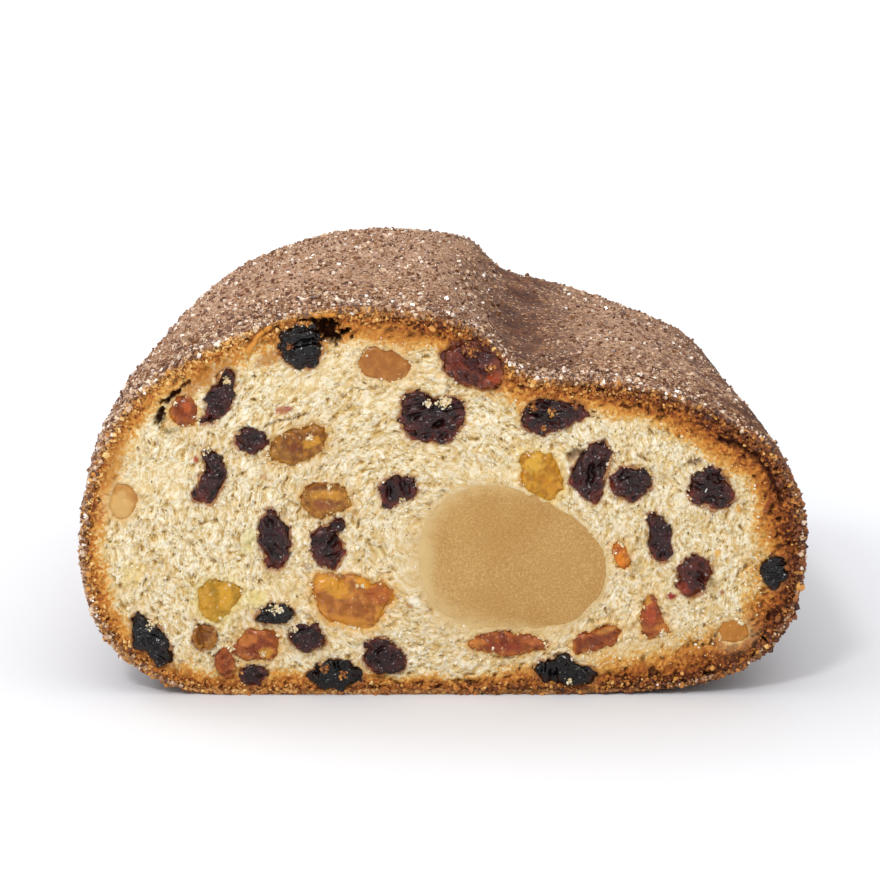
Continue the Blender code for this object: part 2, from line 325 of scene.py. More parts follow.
def bubbles(points, size):
    """For each point: the distance to its bubble's middle, to the next one, and a number
    from 0 to 1 that belongs to the bubble. Distances are in units of size."""
    result = np.empty((len(points), 3))
    for i, p in enumerate((points / size).tolist()):
        distances, middles = noise.voronoi(p)
        result[i] = distances[0], distances[1], noise.cell(middles[0] * 7.31)
    result[:, 2] = result[:, 2] * 0.5 + 0.5
    return result

# %% [markdown]
# ## The skin of the loaf
# The solid of the dough is made of flat facets, and its front has pockets for the fruit. To
# find the smooth outer skin, rays are sent from outside towards the loaf's axis: straight
# in along the body, and fanned out over the rounded far end. The distances that come back
# make a table, and blurring the table rounds the facets away.

# %% Measure the skin
def merged_solid(node_name):
    """A bmesh of one solid, with the doubled points of its loose triangles merged."""
    bm = bmesh.new()
    bm.from_mesh(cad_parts[node_name].data)
    bmesh.ops.remove_doubles(bm, verts=bm.verts, dist=1e-6)
    return bm


dough_tree = BVHTree.FromBMesh(merged_solid("dough"))

COLUMNS = 560
FAR_OUT = 200 * MM
FINE_STEP = 0.5 * MM
COARSE_STEP = 2.0 * MM
STEP_GROWTH = 1.022
NOSE_Y = 30 * MM
NOSE_ARC = 90 * MM


def row_places():
    """How far along the skin each row lies, close together near the cut."""
    end = NOSE_Y - CUT_Y + NOSE_ARC
    places, step = [0.0], FINE_STEP
    while places[-1] < end:
        places.append(places[-1] + step)
        step = min(COARSE_STEP, step * STEP_GROWTH)
    return np.array(places) * (end / places[-1])


def ray_of(turn, along):
    """The point on the axis and the direction that see one place on the skin."""
    body = NOSE_Y - CUT_Y
    tip = max(0.0, (along - body) / NOSE_ARC) * math.pi / 2
    origin = Vector((HEART.x, CUT_Y + min(along, body), HEART.z))
    side = Vector((math.cos(turn), 0, math.sin(turn)))
    return origin, side * math.cos(tip) + Vector((0, math.sin(tip), 0))


def reach(turn, along):
    """How far the dough reaches from its axis in that direction."""
    origin, direction = ray_of(turn, max(along, 0.05 * MM))
    hit = dough_tree.ray_cast(origin + direction * FAR_OUT, -direction)[0]
    return (hit - origin).length


ROWS = row_places()
TURNS = np.linspace(0, 2 * math.pi, COLUMNS, endpoint=False)
skin_table = np.array([[reach(t, along) for t in TURNS] for along in ROWS])


def bell(width):
    """The weights of a bell curve, out to three times its width on each side."""
    weights = np.exp(-0.5 * (np.arange(-3 * width, 3 * width + 1) / width) ** 2)
    return weights / weights.sum()


def blur(table, across, along):
    """Blur the table round the loaf, where it joins up, and then along it."""
    table = sum(w * np.roll(table, k - 3 * across, axis=1) for k, w in enumerate(bell(across)))
    padded = np.pad(table, ((3 * along, 3 * along), (0, 0)), mode="edge")
    return sum(w * padded[k:k + len(table)] for k, w in enumerate(bell(along)))


skin_table = blur(skin_table, 4, 3)
print("skin table:", skin_table.shape, "reach", skin_table.min() / MM, skin_table.max() / MM)


def skin_at(turn):
    """How far the outline of the cut lies from the loaf's axis, in any direction."""
    return np.interp(turn, TURNS, skin_table[0], period=2 * math.pi)


def out_from(axis, turn, far, y, lowest=-math.inf):
    """The point at one direction and distance from an axis, on the section at y."""
    return Vector((axis.x + math.cos(turn) * far, y,
                   max(lowest, axis.z + math.sin(turn) * far)))

# %% [markdown]
# ## The crust
# The crust is a thin closed skin, like a bag with a rolled rim: down the outside from the
# far tip to the cut, round the rim, and back along the inside. That is one grid whose rows
# follow that path and whose columns run round the loaf. Bending a ready-made grid keeps the
# faces even, and merging its doubles closes the seam and both tips. The relief is pushed out
# along the normals: slow swells, dimples, and grains that are finest near the cut.

# %% Shape the crust
CRUST_THICK = 1.0 * MM
RIM_ROUND = 0.35 * MM
RIM_ROWS = 5
WALL_ROWS = 9


def crust_rows():
    """(along, inset) of each row, from the outer tip round the rim to the inner tip."""
    rows = [(along, 0.0) for along in ROWS[:0:-1]]
    for k in range(RIM_ROWS):
        turn = math.pi * k / (RIM_ROWS - 1)
        rows.append((RIM_ROUND * (1 - math.sin(turn)), CRUST_THICK * (1 - math.cos(turn)) / 2))
    rows += [(along, CRUST_THICK) for along in np.linspace(2 * MM, ROWS[-1], WALL_ROWS)]
    return rows


rows = np.array(crust_rows())
reach_rows = np.array([np.interp(rows[:, 0], ROWS, skin_table[:, c]) for c in range(COLUMNS)])


def bend_crust(column, row):
    along, inset = rows[row].T
    turn, body = TURNS[column], NOSE_Y - CUT_Y
    tip = np.maximum(0, (along - body) / NOSE_ARC) * math.pi / 2
    far = reach_rows[column, row] - inset
    return np.column_stack([
        HEART.x + np.cos(turn) * np.cos(tip) * far,
        CUT_Y + np.minimum(along, body) + np.sin(tip) * far,
        np.maximum(inset, HEART.z + np.sin(turn) * np.cos(tip) * far)])


crust_mesh = bent_grid("crust", COLUMNS, len(rows), bend_crust)

# %% Relief of the crust
# The factors are heights in millimetres, and the sizes are those of the lumps.
places, normals = points_of(crust_mesh), normals_of(crust_mesh)
axis = np.column_stack([0 * places[:, 0], np.clip(places[:, 1], CUT_Y, NOSE_Y),
                        0 * places[:, 0] + HEART.z])
outward = np.sum(normals * (places - axis), axis=1) > 0
along = places[:, 1] - CUT_Y
outside = outward * ease(along, 0.0, 0.4 * MM)
fine = 1 - ease(along, 15 * MM, 60 * MM)
upper = ease(places[:, 2], 1 * MM, 8 * MM)
swell = 0.55 * soft_noise(places, 14 * MM)
dimples = 0.30 * soft_noise(places + 1, 4 * MM, 3)
cells = bubbles(places, 1.2 * MM)
grains = (0.12 + 0.20 * fine) * (0.9 - cells[:, 0] + 0.6 * cells[:, 2])
relief = MM * outside * upper * (swell + dimples + grains - 0.25)
places += normals * relief[:, None]
torn_rim = (1 - ease(along, 0.2 * MM, 1.2 * MM)) * MM
places[:, 1] -= torn_rim * (0.45 * soft_noise(places, 1.6 * MM, 3) + 0.15)
places[:, 2] = np.maximum(places[:, 2], 0)
place_points(crust_mesh, places)
print("crust relief from", relief.min() / MM, "to", relief.max() / MM, "mm")

# %% [markdown]
# ## Baked, sugared crust
# Under the sugar the crust is baked brown. A loaf is brushed with butter and rolled in sugar
# while warm, so the top and the left flank catch the most, and the underside stays bare and
# darker. The fold and the right flank are given less sugar, so that more dark crust shows
# there: this is painted shade, as if the light came from the left. The grains are about half
# a millimetre. The shader draws those that are pressed in as cells of a Voronoi noise, each
# with its own tone, and separate grains lie on top of them later. Where the knife tore the
# rim, the crust is golden.

# %% Crust material
def sugar_cover_and_shade(points, directions):
    """How thickly sugar lies, 0 to 1: thick on top, none underneath, and thin in the fold and on
    the right, which is painted shade.
    """
    x, y, z = (points / MM).T
    top = ease(directions[:, 2], -0.75, 0.1)
    ragged = 0.35 * soft_noise(points + 21, 5 * MM, 3)
    # Painted shade: the fold and the right flank get less sugar, so the dark crust shows there.
    fold = np.exp(-((x - 17) / 14) ** 2) * ease(z, 50, 60) * ease(y, -82, -62)
    right_side_shade = ease(directions[:, 0] + ragged, 0.15, 0.70) * ease(x, 22, 48)
    patches = 0.20 * soft_noise(points, 9 * MM, 3)
    return np.clip((0.80 - 0.74 * fold - 0.76 * right_side_shade + patches) * top, 0.0, 1)


paint(crust_mesh, "sugar", sugar_cover_and_shade(places, normals) * outside)
paint(crust_mesh, "far_back", 0.50 * ease(along, 10 * MM, 60 * MM)
      * sugar_cover_and_shade(places, normals))
TORN_FROM, TORN_TO = 0.3 * MM, 2.4 * MM
golden_side = 1 - ease(places[:, 0], -30 * MM, 25 * MM) * 0.8
ragged_along = along + 0.8 * MM * soft_noise(places, 1.5 * MM, 3)
paint(crust_mesh, "torn", golden_side * (1 - ease(ragged_along, TORN_FROM, TORN_TO)))

crust_material, tree, shader = new_material(
    "baked crust with sugar", Roughness=0.62, Specular_IOR_Level=0.15)
spot = add(tree, "TexCoord").outputs["Object"]
bake = add(tree, "TexNoise", {"Vector": spot, "Scale": per_mm(8), "Detail": 4.0})
grain = add(tree, "TexVoronoi", {"Vector": spot, "Scale": per_mm(0.5)})
grain_tone = add(tree, "SeparateColor", {"Color": grain.outputs["Color"]})
soaked = add(tree, "Math", {0: grain_tone.outputs["Blue"], 1: 0.45, 2: bake},
             operation="MULTIPLY_ADD")
brown = add(tree, "ValToRGB", {"Fac": soaked}, [
    (0.38, "#32170C"), (0.68, "#4E2816"), (0.90, "#744628"), (1.0, "#94643E")])
stored = {name: add(tree, "Attribute", attribute_name=name).outputs["Fac"]
          for name in ("sugar", "far_back", "torn")}
cover = add(tree, "Math", {0: grain_tone.outputs["Red"], 1: stored["sugar"]},
            operation="LESS_THAN")
grain_colour = add(tree, "ValToRGB", {"Fac": grain_tone.outputs["Green"]}, [
    (0.0, "#6C4024"), (0.5, "#A07250"), (0.9, "#D2AC8C")])
gold = add(tree, "ValToRGB", {"Fac": grain_tone.outputs["Blue"]}, [
    (0.0, "#9A5C30"), (0.5, "#CE9454"), (1.0, "#F0C888")])
edged = layered(tree, brown, [
    (cover, grain_colour), (stored["far_back"], "#C4A088"), (stored["torn"], gold)])
height = add(tree, "Math", {0: grain, 1: -0.6}, operation="MULTIPLY")
fine_noise = add(tree, "TexNoise", {"Vector": spot, "Scale": per_mm(0.4), "Detail": 2.0})
height = add(tree, "Math", {0: height, 1: fine_noise})
finish_surface(tree, shader, edged, height, 0.3 * MM, 0.9)

register(crust_mesh, "crust", crust_material)

# %% [markdown]
# ## The marzipan rope
# Marzipan is almonds and sugar ground to a paste: dense, matt and evenly grainy, with pale
# flecks of almond. The rope's outline is read from its solid with rays from its middle, and
# a polar grid is bent to it: rings from the middle of the cut out to the edge, then back
# along the rope to its tapered end. Only the cut end shows, so most rings are spent there.

# %% Measure and shape the marzipan
rope_tree = BVHTree.FromBMesh(merged_solid("marzipan"))

ROPE_HEART = (ROPE_LOW + ROPE_HIGH) / 2
ROPE_COLUMNS = 240
LAP_ON_ROPE = 0.6 * MM
FACE_RINGS = 56
ROPE_STATIONS = [0.3, 1.5, 20, 60, 100, 125, 135, 141, 144.5]
EVEN_SECTION_Y = CUT_Y + 12 * MM


def rope_reach(turn, y):
    """Half width of the rope from its axis, in one direction, y along the loaf."""
    origin = Vector((ROPE_HEART.x, y, ROPE_HEART.z))
    hit = rope_tree.ray_cast(origin, Vector((math.cos(turn), 0, math.sin(turn))))[0]
    return (hit - origin).length if hit else 0.0


rope_turns = np.linspace(0, 2 * math.pi, ROPE_COLUMNS, endpoint=False)
rope_edge = np.array([[rope_reach(t, EVEN_SECTION_Y) for t in rope_turns]])
rope_edge = blur(rope_edge, 5, 1)[0]


def rope_edge_at(turn):
    """How far the rope's edge lies from its middle, in any direction."""
    return np.interp(turn, rope_turns, rope_edge, period=2 * math.pi)


def from_rope(points):
    """How far outside the rope's edge each point lies."""
    far, turn = polar(points, ROPE_HEART)
    return far - rope_edge_at(turn)


def rope_rings():
    """(part of the half width, y) of each ring, from the middle of the cut to the far tip."""
    rings = [(part, CUT_Y) for part in np.linspace(0, 1, FACE_RINGS) ** 0.8]
    for back in ROPE_STATIONS:
        y = CUT_Y + back * MM
        wide = rope_reach(0, y) / rope_reach(0, EVEN_SECTION_Y)
        rings.append((wide, y))
    return rings + [(0.0, ROPE_HIGH.y)]


rings = np.array(rope_rings())
wobble = 0.25 * MM * soft_noise(np.column_stack(
    [np.cos(rope_turns), np.sin(rope_turns), 0 * rope_turns]), 0.4)


def bend_rope(column, row):
    part, y = rings[row].T
    far = part * (rope_edge + wobble + LAP_ON_ROPE)[column]
    return np.column_stack([ROPE_HEART.x + np.cos(rope_turns[column]) * far, y,
                            ROPE_HEART.z + np.sin(rope_turns[column]) * far])


rope_mesh = bent_grid("marzipan_rope", ROPE_COLUMNS, len(rings), bend_rope)
places = points_of(rope_mesh)
front = places[:, 1] < CUT_Y + 0.1 * MM
edge = from_rope(places)
places[:, 1] += front * MM * (0.06 * soft_noise(places, 0.8 * MM, 3)
                              + 0.15 * soft_noise(places, 9 * MM)
                              + 0.45 * ease(edge, 0.15 * MM, 0.6 * MM))
place_points(rope_mesh, places)
# How wide the rope's pale edge fades, and how strongly, by direction in degrees.
EDGE_TURNS = [0, 60, 120, 180, 250, 300, 360]
EDGE_FADES = [0.4, 0.8, 3.0, 4.5, 3.0, 1.2, 0.4]
EDGE_STRENGTHS = [0.0, 0.1, 0.6, 0.9, 0.6, 0.3, 0.0]
_, turn = polar(places, ROPE_HEART)
fade, strength = (np.interp(turn, np.radians(EDGE_TURNS), v) for v in (EDGE_FADES, EDGE_STRENGTHS))
paint(rope_mesh, "edge", front * strength * ease(
    edge + 0.9 * MM * soft_noise(places, 2 * MM, 3), -fade * MM, 0.8 * MM))

print("the rope reaches up to", round(rope_edge.max() / MM, 1), "mm from its middle")

# %% Marzipan material
rope_material, tree, shader = new_material(
    "ground almond paste", Roughness=0.6, Specular_IOR_Level=0.2,
    Subsurface_Weight=0.15, Subsurface_Scale=1.5 * MM, Subsurface_Radius=(1.0, 0.6, 0.3))
spot = add(tree, "TexCoord").outputs["Object"]
paste = add(tree, "TexNoise", {"Vector": spot, "Scale": per_mm(0.4), "Detail": 2.0})
body = add(tree, "ValToRGB", {"Fac": paste}, [
    (0.30, "#B58A50"), (0.52, "#C0985C"), (0.72, "#CFAB72")])
broad = add(tree, "TexNoise", {"Vector": spot, "Scale": per_mm(14)})
broad_tone = add(tree, "ValToRGB", {"Fac": broad}, [(0.35, "#F2EADC"), (0.65, "#FFFFFF")])
toned = add(tree, "Mix", {0: 1.0, 6: body, 7: broad_tone}, data_type="RGBA", blend_type="MULTIPLY")
edge_value = add(tree, "Attribute", attribute_name="edge").outputs["Fac"]
pale = layered(tree, toned, [(edge_value, "#D8BB85")])
finish_surface(tree, shader, pale, paste, 0.10 * MM, 0.6)

register(rope_mesh, "marzipan_rope", rope_material, ["marzipan"])

# %% [markdown]
# ## Fruit, peel and almonds
# Each piece starts as a merged copy of its solid. A voxel remesh gives it an even skin of
# small faces, and noise then does to it what drying, baking and the knife did: raisins
# shrivel into deep drawn-out wrinkles, candied peel swells smooth, almonds stay flat where
# they are cut. How strong each change is depends on the kind, so the kinds are a small
# table. The rim of every piece dips behind the cut, so that the crumb can lap over it.
# The fruit comes before the crumb, because the crumb is fitted round it.

# %% Shape the fruit
# kind: (wrinkle depth, wrinkle size, wrinkle stretch, edge wander, wander size, bulge), mm
SURFACES = {
    "raisin": (0.95, 2.2, 2.4, 0.75, 2.2, 0.55), "sultana": (0.40, 1.8, 2.0, 0.80, 2.4, 0.55),
    "apricot": (0.40, 2.2, 2.4, 0.80, 2.6, 0.60), "citron": (0.30, 1.8, 1.6, 0.80, 2.4, 0.45),
    "lemon_peel": (0.20, 2.0, 1.5, 0.70, 2.4, 0.35),
    "orange_peel": (0.30, 1.6, 2.2, 0.80, 2.2, 0.45),
    "almond": (0.06, 2.0, 1.5, 0.55, 3.0, 0.10),
}
VOXELS = {"raisin": 0.23 * MM}
VOXEL = 0.28 * MM
CAD_PROUD = 0.7 * MM
RIM_DIP = 0.55 * MM
UNDER_THE_LAP = 0.45 * MM
FRUIT_NAMES = [n for n in sorted(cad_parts) if n not in ("dough", "marzipan")]


def kind_of(name):
    return name.rsplit("_", 1)[0]


def remeshed_copy(node_name, voxel):
    """A copy of the solid's mesh with an even skin of small faces."""
    mesh = mesh_from(merged_solid(node_name), node_name)
    item = bpy.data.objects.new(node_name + "_source", mesh)
    bpy.context.scene.collection.objects.link(item)
    remesh = item.modifiers.new("even skin", "REMESH")
    remesh.mode = "VOXEL"
    remesh.voxel_size = voxel
    smooth = item.modifiers.new("rounded", "SMOOTH")
    smooth.iterations = 4
    graph = bpy.context.evaluated_depsgraph_get()
    result = bpy.data.meshes.new_from_object(item.evaluated_get(graph))
    bpy.data.objects.remove(item)
    return result


def weather(mesh, kind):
    """Dip, wander and wrinkle one piece; returns the points of its outline on the cut."""
    depth, size, stretch, wander_by, wander_size, bulge = SURFACES[kind]
    places, normals = points_of(mesh), normals_of(mesh)
    middle = places.mean(axis=0)
    proud = np.clip((CUT_Y - places[:, 1]) / CAD_PROUD, 0, 1)
    in_front = places[:, 1] < CUT_Y + 0.3 * MM
    dip = RIM_DIP * (1 - ease(proud, 0.0, 0.75)) - bulge * MM * proud
    places[:, 1] = np.where(in_front, CUT_Y + dip, places[:, 1] + RIM_DIP)
    shift = np.column_stack([soft_noise(places + k, wander_size * MM, 3) for k in (5, 9)])
    places[:, [0, 2]] += shift * wander_by * MM
    outward = places[:, [0, 2]] - middle[[0, 2]]
    far = np.maximum(np.hypot(*outward.T), 1e-6)
    places[:, [0, 2]] += outward / far[:, None] * np.minimum(UNDER_THE_LAP, far)[:, None]
    outline = places[in_front & (proud < 0.12)]
    lean = 97.0 * middle[0] / MM + 31.0 * middle[2] / MM
    drawn = np.column_stack([
        places[:, 0] * math.cos(lean) + places[:, 2] * math.sin(lean), places[:, 1],
        (places[:, 2] * math.cos(lean) - places[:, 0] * math.sin(lean)) / stretch])
    wrinkle = 1 - 2.6 * np.abs(soft_noise(drawn, size * MM, 3))
    fine = soft_noise(places + 4, 0.8 * MM, 2)
    middle_part = 0.4 + 0.6 * ease(proud, 0.0, 0.6)
    places += normals * (depth * middle_part * (0.8 * wrinkle + 0.15 * fine))[:, None] * MM
    places[:, 2] = np.maximum(places[:, 2], 0.25 * MM)
    place_points(mesh, places)
    low_side = 0.35 + 0.65 * ease(middle[2] - places[:, 2], -1 * MM, 1.5 * MM)
    paint(mesh, "rim", (1 - ease(proud, 0.3, 1.0)) * low_side)
    # The wrinkle crests, where the skin's painted highlight and painted glints go.
    paint(mesh, "ridge_highlight", ease(wrinkle, -0.4, 0.9))
    return outline


fruit_meshes, outlines = {}, {}
for name in FRUIT_NAMES:
    fruit_meshes[name] = remeshed_copy(name, VOXELS.get(kind_of(name), VOXEL))
    outlines[name] = weather(fruit_meshes[name], kind_of(name))
print(len(fruit_meshes), "pieces of fruit, peel and almond")

# %% [markdown]
# ## Touches of colour
# Fruit and dough aren't one colour each: an apricot has a yellow flap, a peel has a green
# side, and the crumb beside wet fruit is stained. These touches are soft ovals on the cut,
# each with its colour. A few brown touches on the crumb are painted shade in shallow
# hollows. All touches are stored as a colour and an amount at every point, which the
# material mixes over its own pattern.

# %% Paint soft touches
# (across, up, half width, half height, tilt, colour, strength), sizes in millimetres
FRUIT_TOUCHES = [
    (-20.5, 21.2, 4.6, 2.2, -24, "#D6962C", 0.9), (-14.0, 21.5, 3.2, 1.2, -30, "#E3A02C", 0.8),
    (-12.0, 19.4, 3.0, 2.4, 0, "#AC5824", 0.8), (-17.5, 14.2, 5.0, 1.6, -8, "#D98F38", 0.6),
    (-24.2, 48.6, 3.0, 1.2, 20, "#D79A2C", 0.7), (-30.0, 46.8, 3.2, 1.6, 15, "#8C5C22", 0.7),
    (-27.0, 47.8, 1.8, 1.2, 15, "#7A3418", 0.7), (-21.6, 38.6, 4.4, 1.2, 0, "#D89A34", 0.7),
    (-22.0, 36.8, 2.4, 1.4, 0, "#94542C", 0.8), (-44.5, 18.0, 2.2, 4.0, 0, "#C8922A", 0.8),
    (-40.6, 19.4, 1.7, 3.2, 0, "#D9A02A", 0.8), (-36.6, 10.8, 2.4, 1.4, 10, "#D08038", 0.7),
    (-33.0, 8.4, 1.6, 1.4, 0, "#E2A43C", 0.8), (-38.8, 8.8, 1.6, 1.4, 0, "#8C4222", 0.7),
    (17.0, 44.6, 2.0, 2.4, -28, "#E0B040", 0.7), (20.0, 40.4, 2.2, 1.6, -28, "#C8871E", 0.7),
    (39.0, 15.8, 1.3, 3.2, 0, "#B5502A", 0.7), (41.6, 13.2, 2.2, 1.0, 0, "#D98A34", 0.6),
    (38.2, 18.6, 1.2, 1.4, 0, "#E0A03C", 0.7), (6.4, 10.2, 2.4, 1.2, 0, "#D98C3A", 0.6),
    (11.8, 9.4, 4.6, 1.0, 0, "#8C3420", 0.7), (17.4, 10.4, 2.2, 1.0, 0, "#C06C38", 0.6),
    (29.0, 10.6, 4.0, 0.7, 24, "#7A3A1E", 0.8), (31.0, 12.8, 2.6, 0.7, 24, "#C88A3C", 0.7),
    (-47.0, 55.2, 1.2, 1.2, 0, "#C8602A", 0.7), (-46.6, 53.0, 1.6, 1.2, 0, "#7E3018", 0.6),
    (7.8, 64.6, 2.4, 1.6, 0, "#3A1512", 0.8), (9.6, 60.8, 1.8, 1.8, 0, "#B5502C", 0.7),
    (2.6, 64.0, 1.8, 1.8, 0, "#7E3020", 0.6), (45.0, 20.8, 1.4, 1.6, 30, "#8E3420", 0.8),
    (33.2, 26.4, 1.0, 1.6, 20, "#E88A1C", 0.8), (-59.8, 36.2, 3.0, 3.6, 0, "#DAB470", 0.6),
]
# The brown touches at (24.8, 46.2), (46.9, 44.8) and (60.4, 9.6) are painted shade in hollows.
CRUMB_TOUCHES = [
    (-44.0, 60.2, 9.0, 1.8, 36, "#B0702E", 0.65), (-31.0, 64.6, 5.0, 1.5, 24, "#A86424", 0.6),
    (-9.0, 68.4, 10.0, 1.3, -5, "#C07E36", 0.55), (-60.5, 44.0, 1.6, 6.0, -18, "#BE8440", 0.5),
    (-36.1, 29.7, 1.6, 3.4, -12, "#E6D9A0", 0.8), (-34.8, 18.9, 2.8, 2.2, 0, "#E9D27E", 0.7),
    (-57.9, 23.6, 2.6, 3.4, 0, "#EBCF8A", 0.7), (42.9, 19.3, 1.3, 0.8, 12, "#9C3A2C", 1.0),
    (-29.5, 54.6, 1.7, 1.0, 10, "#B8622C", 0.8), (-28.3, 54.9, 0.8, 0.7, 0, "#A23C1C", 0.8),
    (-45.5, 45.5, 0.6, 0.9, 0, "#A8401E", 0.9), (55.1, 35.9, 0.8, 1.2, 0, "#E2A436", 0.8),
    (51.4, 27.4, 0.8, 0.9, 0, "#E6AA3C", 0.8), (60.3, 36.2, 0.55, 2.6, -18, "#8A3A24", 0.8),
    (24.8, 46.2, 2.0, 1.2, 35, "#8E5C30", 0.7), (46.9, 44.8, 1.8, 0.8, 10, "#9C6C3A", 0.6),
    (36.3, 24.9, 1.5, 1.9, 0, "#C2A468", 0.7), (-6.0, 17.4, 0.9, 0.6, -30, "#B0703A", 0.8),
    (14.6, 41.4, 1.0, 1.6, 0, "#E0A044", 0.6), (-5.0, 18.2, 1.8, 1.0, -30, "#FFF6E2", 0.8),
    (-25.0, 25.0, 1.2, 1.0, 0, "#8A5A38", 0.5), (52.3, 20.0, 0.7, 0.6, 0, "#B05A34", 0.7),
    (50.5, 21.0, 1.6, 2.6, 0, "#B9975C", 0.5), (-50.0, 50.8, 2.2, 0.8, 10, "#A89468", 0.6),
    (-12.0, 27.0, 1.0, 3.0, 0, "#E8D09A", 0.5), (60.4, 9.6, 0.5, 0.5, 0, "#3A1A0C", 0.9),
    (-33.0, 42.0, 1.0, 0.8, 0, "#C08A50", 0.6), (-52.0, 33.0, 0.9, 0.6, 0, "#B98A54", 0.6),
]


def rgb(code):
    return np.array(linear(code)[:3])


def touched(points, touches, colours, amounts, wobble=0.30):
    """Lay touches over the colour and the amount that every point already has."""
    shake = wobble * soft_noise(points + 3, 1.1 * MM, 2)
    for *oval, code, strength in touches:
        here = strength * ease(oval_fall(points, *oval) + shake, 0.0, 0.45)
        amounts_next = np.maximum(amounts, here)
        share = (here / np.maximum(amounts_next, 1e-6))[:, None]
        colours = colours * (1 - share) + rgb(code) * share
        amounts = amounts_next
    return colours, amounts


def paint_tint(mesh, colours, amounts):
    layer = mesh.attributes.new("tint", "FLOAT_COLOR", "POINT")
    layer.data.foreach_set("color", np.column_stack([colours, amounts]).astype(
        np.float32).ravel())


def tint_layer(tree):
    """The amount and the colour of the stored touches, to lay over other colours."""
    tint = add(tree, "Attribute", attribute_name="tint")
    return tint.outputs["Alpha"], tint.outputs["Color"]


for mesh in fruit_meshes.values():
    places = points_of(mesh)
    bare = np.zeros((len(places), 3)), np.zeros(len(places))
    paint_tint(mesh, *touched(places, FRUIT_TOUCHES, *bare))

# %% [markdown]
# ## Fruit skins
# Dried fruit is dark because it is thick and full of sugar: light goes in, and only the
# thin rims let some out again, red-brown on a raisin and amber on a sultana. So each skin
# blends from a body colour to a rim colour, with subsurface light in the paler kinds, and
# has the gloss of wet sugar, broken into small glints by fine puckers. The crests of the
# wrinkles are painted lighter, a painted highlight, and small pale flecks on them are
# painted glints, because a coat of gloss over the whole piece looks hazy.
# The raisins run from blue-black, next to the crust, to plum and red-brown in the middle.

# %% Fruit materials
def fruit_skin(name, body, ridge_highlight, rim, glint, glow, roughness, pucker_depth):
    """A juicy skin: body, ridges painted lighter as a highlight, rim, painted glints, and light
    from within.
    """
    material, tree, shader = new_material(
        name, Roughness=roughness, IOR=1.45, Specular_IOR_Level=0.4, Subsurface_Weight=glow,
        Subsurface_Scale=1.6 * MM, Subsurface_Radius=(1.0, 0.45, 0.15))
    spot = add(tree, "TexCoord").outputs["Object"]
    blotch = add(tree, "TexNoise", {"Vector": spot, "Scale": per_mm(1.4), "Detail": 3.0})
    blotch = add(tree, "MapRange", {0: blotch, 1: 0.35, 2: 0.65})
    ridge_value = add(tree, "Attribute", attribute_name="ridge_highlight").outputs["Fac"]
    level = add(tree, "Math", {0: ridge_value, 1: blotch}, operation="MULTIPLY")
    rim_value = add(tree, "Attribute", attribute_name="rim").outputs["Fac"]
    rim_part = add(tree, "Math", {0: rim_value, 1: blotch}, operation="MULTIPLY")
    # Painted glints: pale flecks where the noise peaks on the ridges.
    glint_pattern = add(tree, "TexNoise", {"Vector": spot, "Scale": per_mm(0.55), "Detail": 1.0})
    painted_glint = add(tree, "MapRange", {0: glint_pattern, 1: 0.66, 2: 0.74, 4: 0.55})
    painted_glint = add(tree, "Math", {0: painted_glint, 1: ridge_value}, operation="MULTIPLY")
    # The ridge colour is a painted highlight on the crests.
    skin = layered(tree, body, [
        (level, ridge_highlight), tint_layer(tree), (rim_part, rim), (painted_glint, glint)])
    pucker = add(tree, "TexNoise", {"Vector": spot, "Scale": per_mm(1.2), "Detail": 1.0})
    finish_surface(tree, shader, skin, pucker, pucker_depth * MM)
    return material


# skin: name, then the colours of body, ridges (a painted highlight), rim and painted glints,
# the part of the light that comes from within, the roughness, and the depth of the puckers
# in millimetres
SKIN_TABLE = {
    "black": ("blue-black raisin", "#050405", "#0C0909", "#34160E", "#8C9490", 0.0, 0.12, 0.35),
    "plum": ("plum raisin", "#1A0B0B", "#38181A", "#7E3428", "#C4B4AE", 0.05, 0.12, 0.35),
    "maroon": ("maroon raisin", "#30100D", "#56221C", "#8A3C22", "#C4B4AE", 0.08, 0.14, 0.35),
    "russet": ("russet raisin", "#401610", "#7C3826", "#96502C", "#C4B4AE", 0.15, 0.18, 0.5),
    "amber": ("amber sultana", "#7C4512", "#A86E26", "#C48C30", "#F0D8A0", 0.4, 0.15, 0.75),
    "rust": ("rust-red sultana", "#7E3612", "#A6541E", "#C47C34", "#E4B880", 0.35, 0.15, 0.75),
    "orange": ("dried apricot", "#A05C22", "#C88236", "#D8962E", "#F4D8A8", 0.4, 0.15, 0.75),
    "yellow": ("candied citron", "#AC700E", "#D49C2C", "#D8A032", "#F8E4A8", 0.4, 0.15, 0.75),
    "golden": ("candied lemon peel", "#A67A10", "#C28A18", "#D8B04C", "#F4E4B0", 0.35, 0.2, 0.7),
    "peel": ("candied orange peel", "#B05A14", "#CC761C", "#D8923C", "#F4D8A8", 0.4, 0.16, 0.75),
    "nut": ("blanched almond", "#B8803C", "#C8944C", "#CFA060", "#EACB98", 0.25, 0.36, 0.1),
    "toasted": ("toasted almond", "#AE6E22", "#BC7C2A", "#C48C40", "#E4BC80", 0.25, 0.36, 0.1),
    "skinned": ("browned almond", "#9A5C20", "#B0702C", "#C08840", "#E4BC88", 0.2, 0.3, 0.12),
}
SKINS = {key: fruit_skin(*values) for key, values in SKIN_TABLE.items()}
print(len(SKINS), "skins for fruit, peel and almonds")
BY_KIND = {
    "raisin": "plum", "sultana": "amber", "apricot": "orange", "citron": "yellow",
    "lemon_peel": "golden", "orange_peel": "peel", "almond": "nut",
}
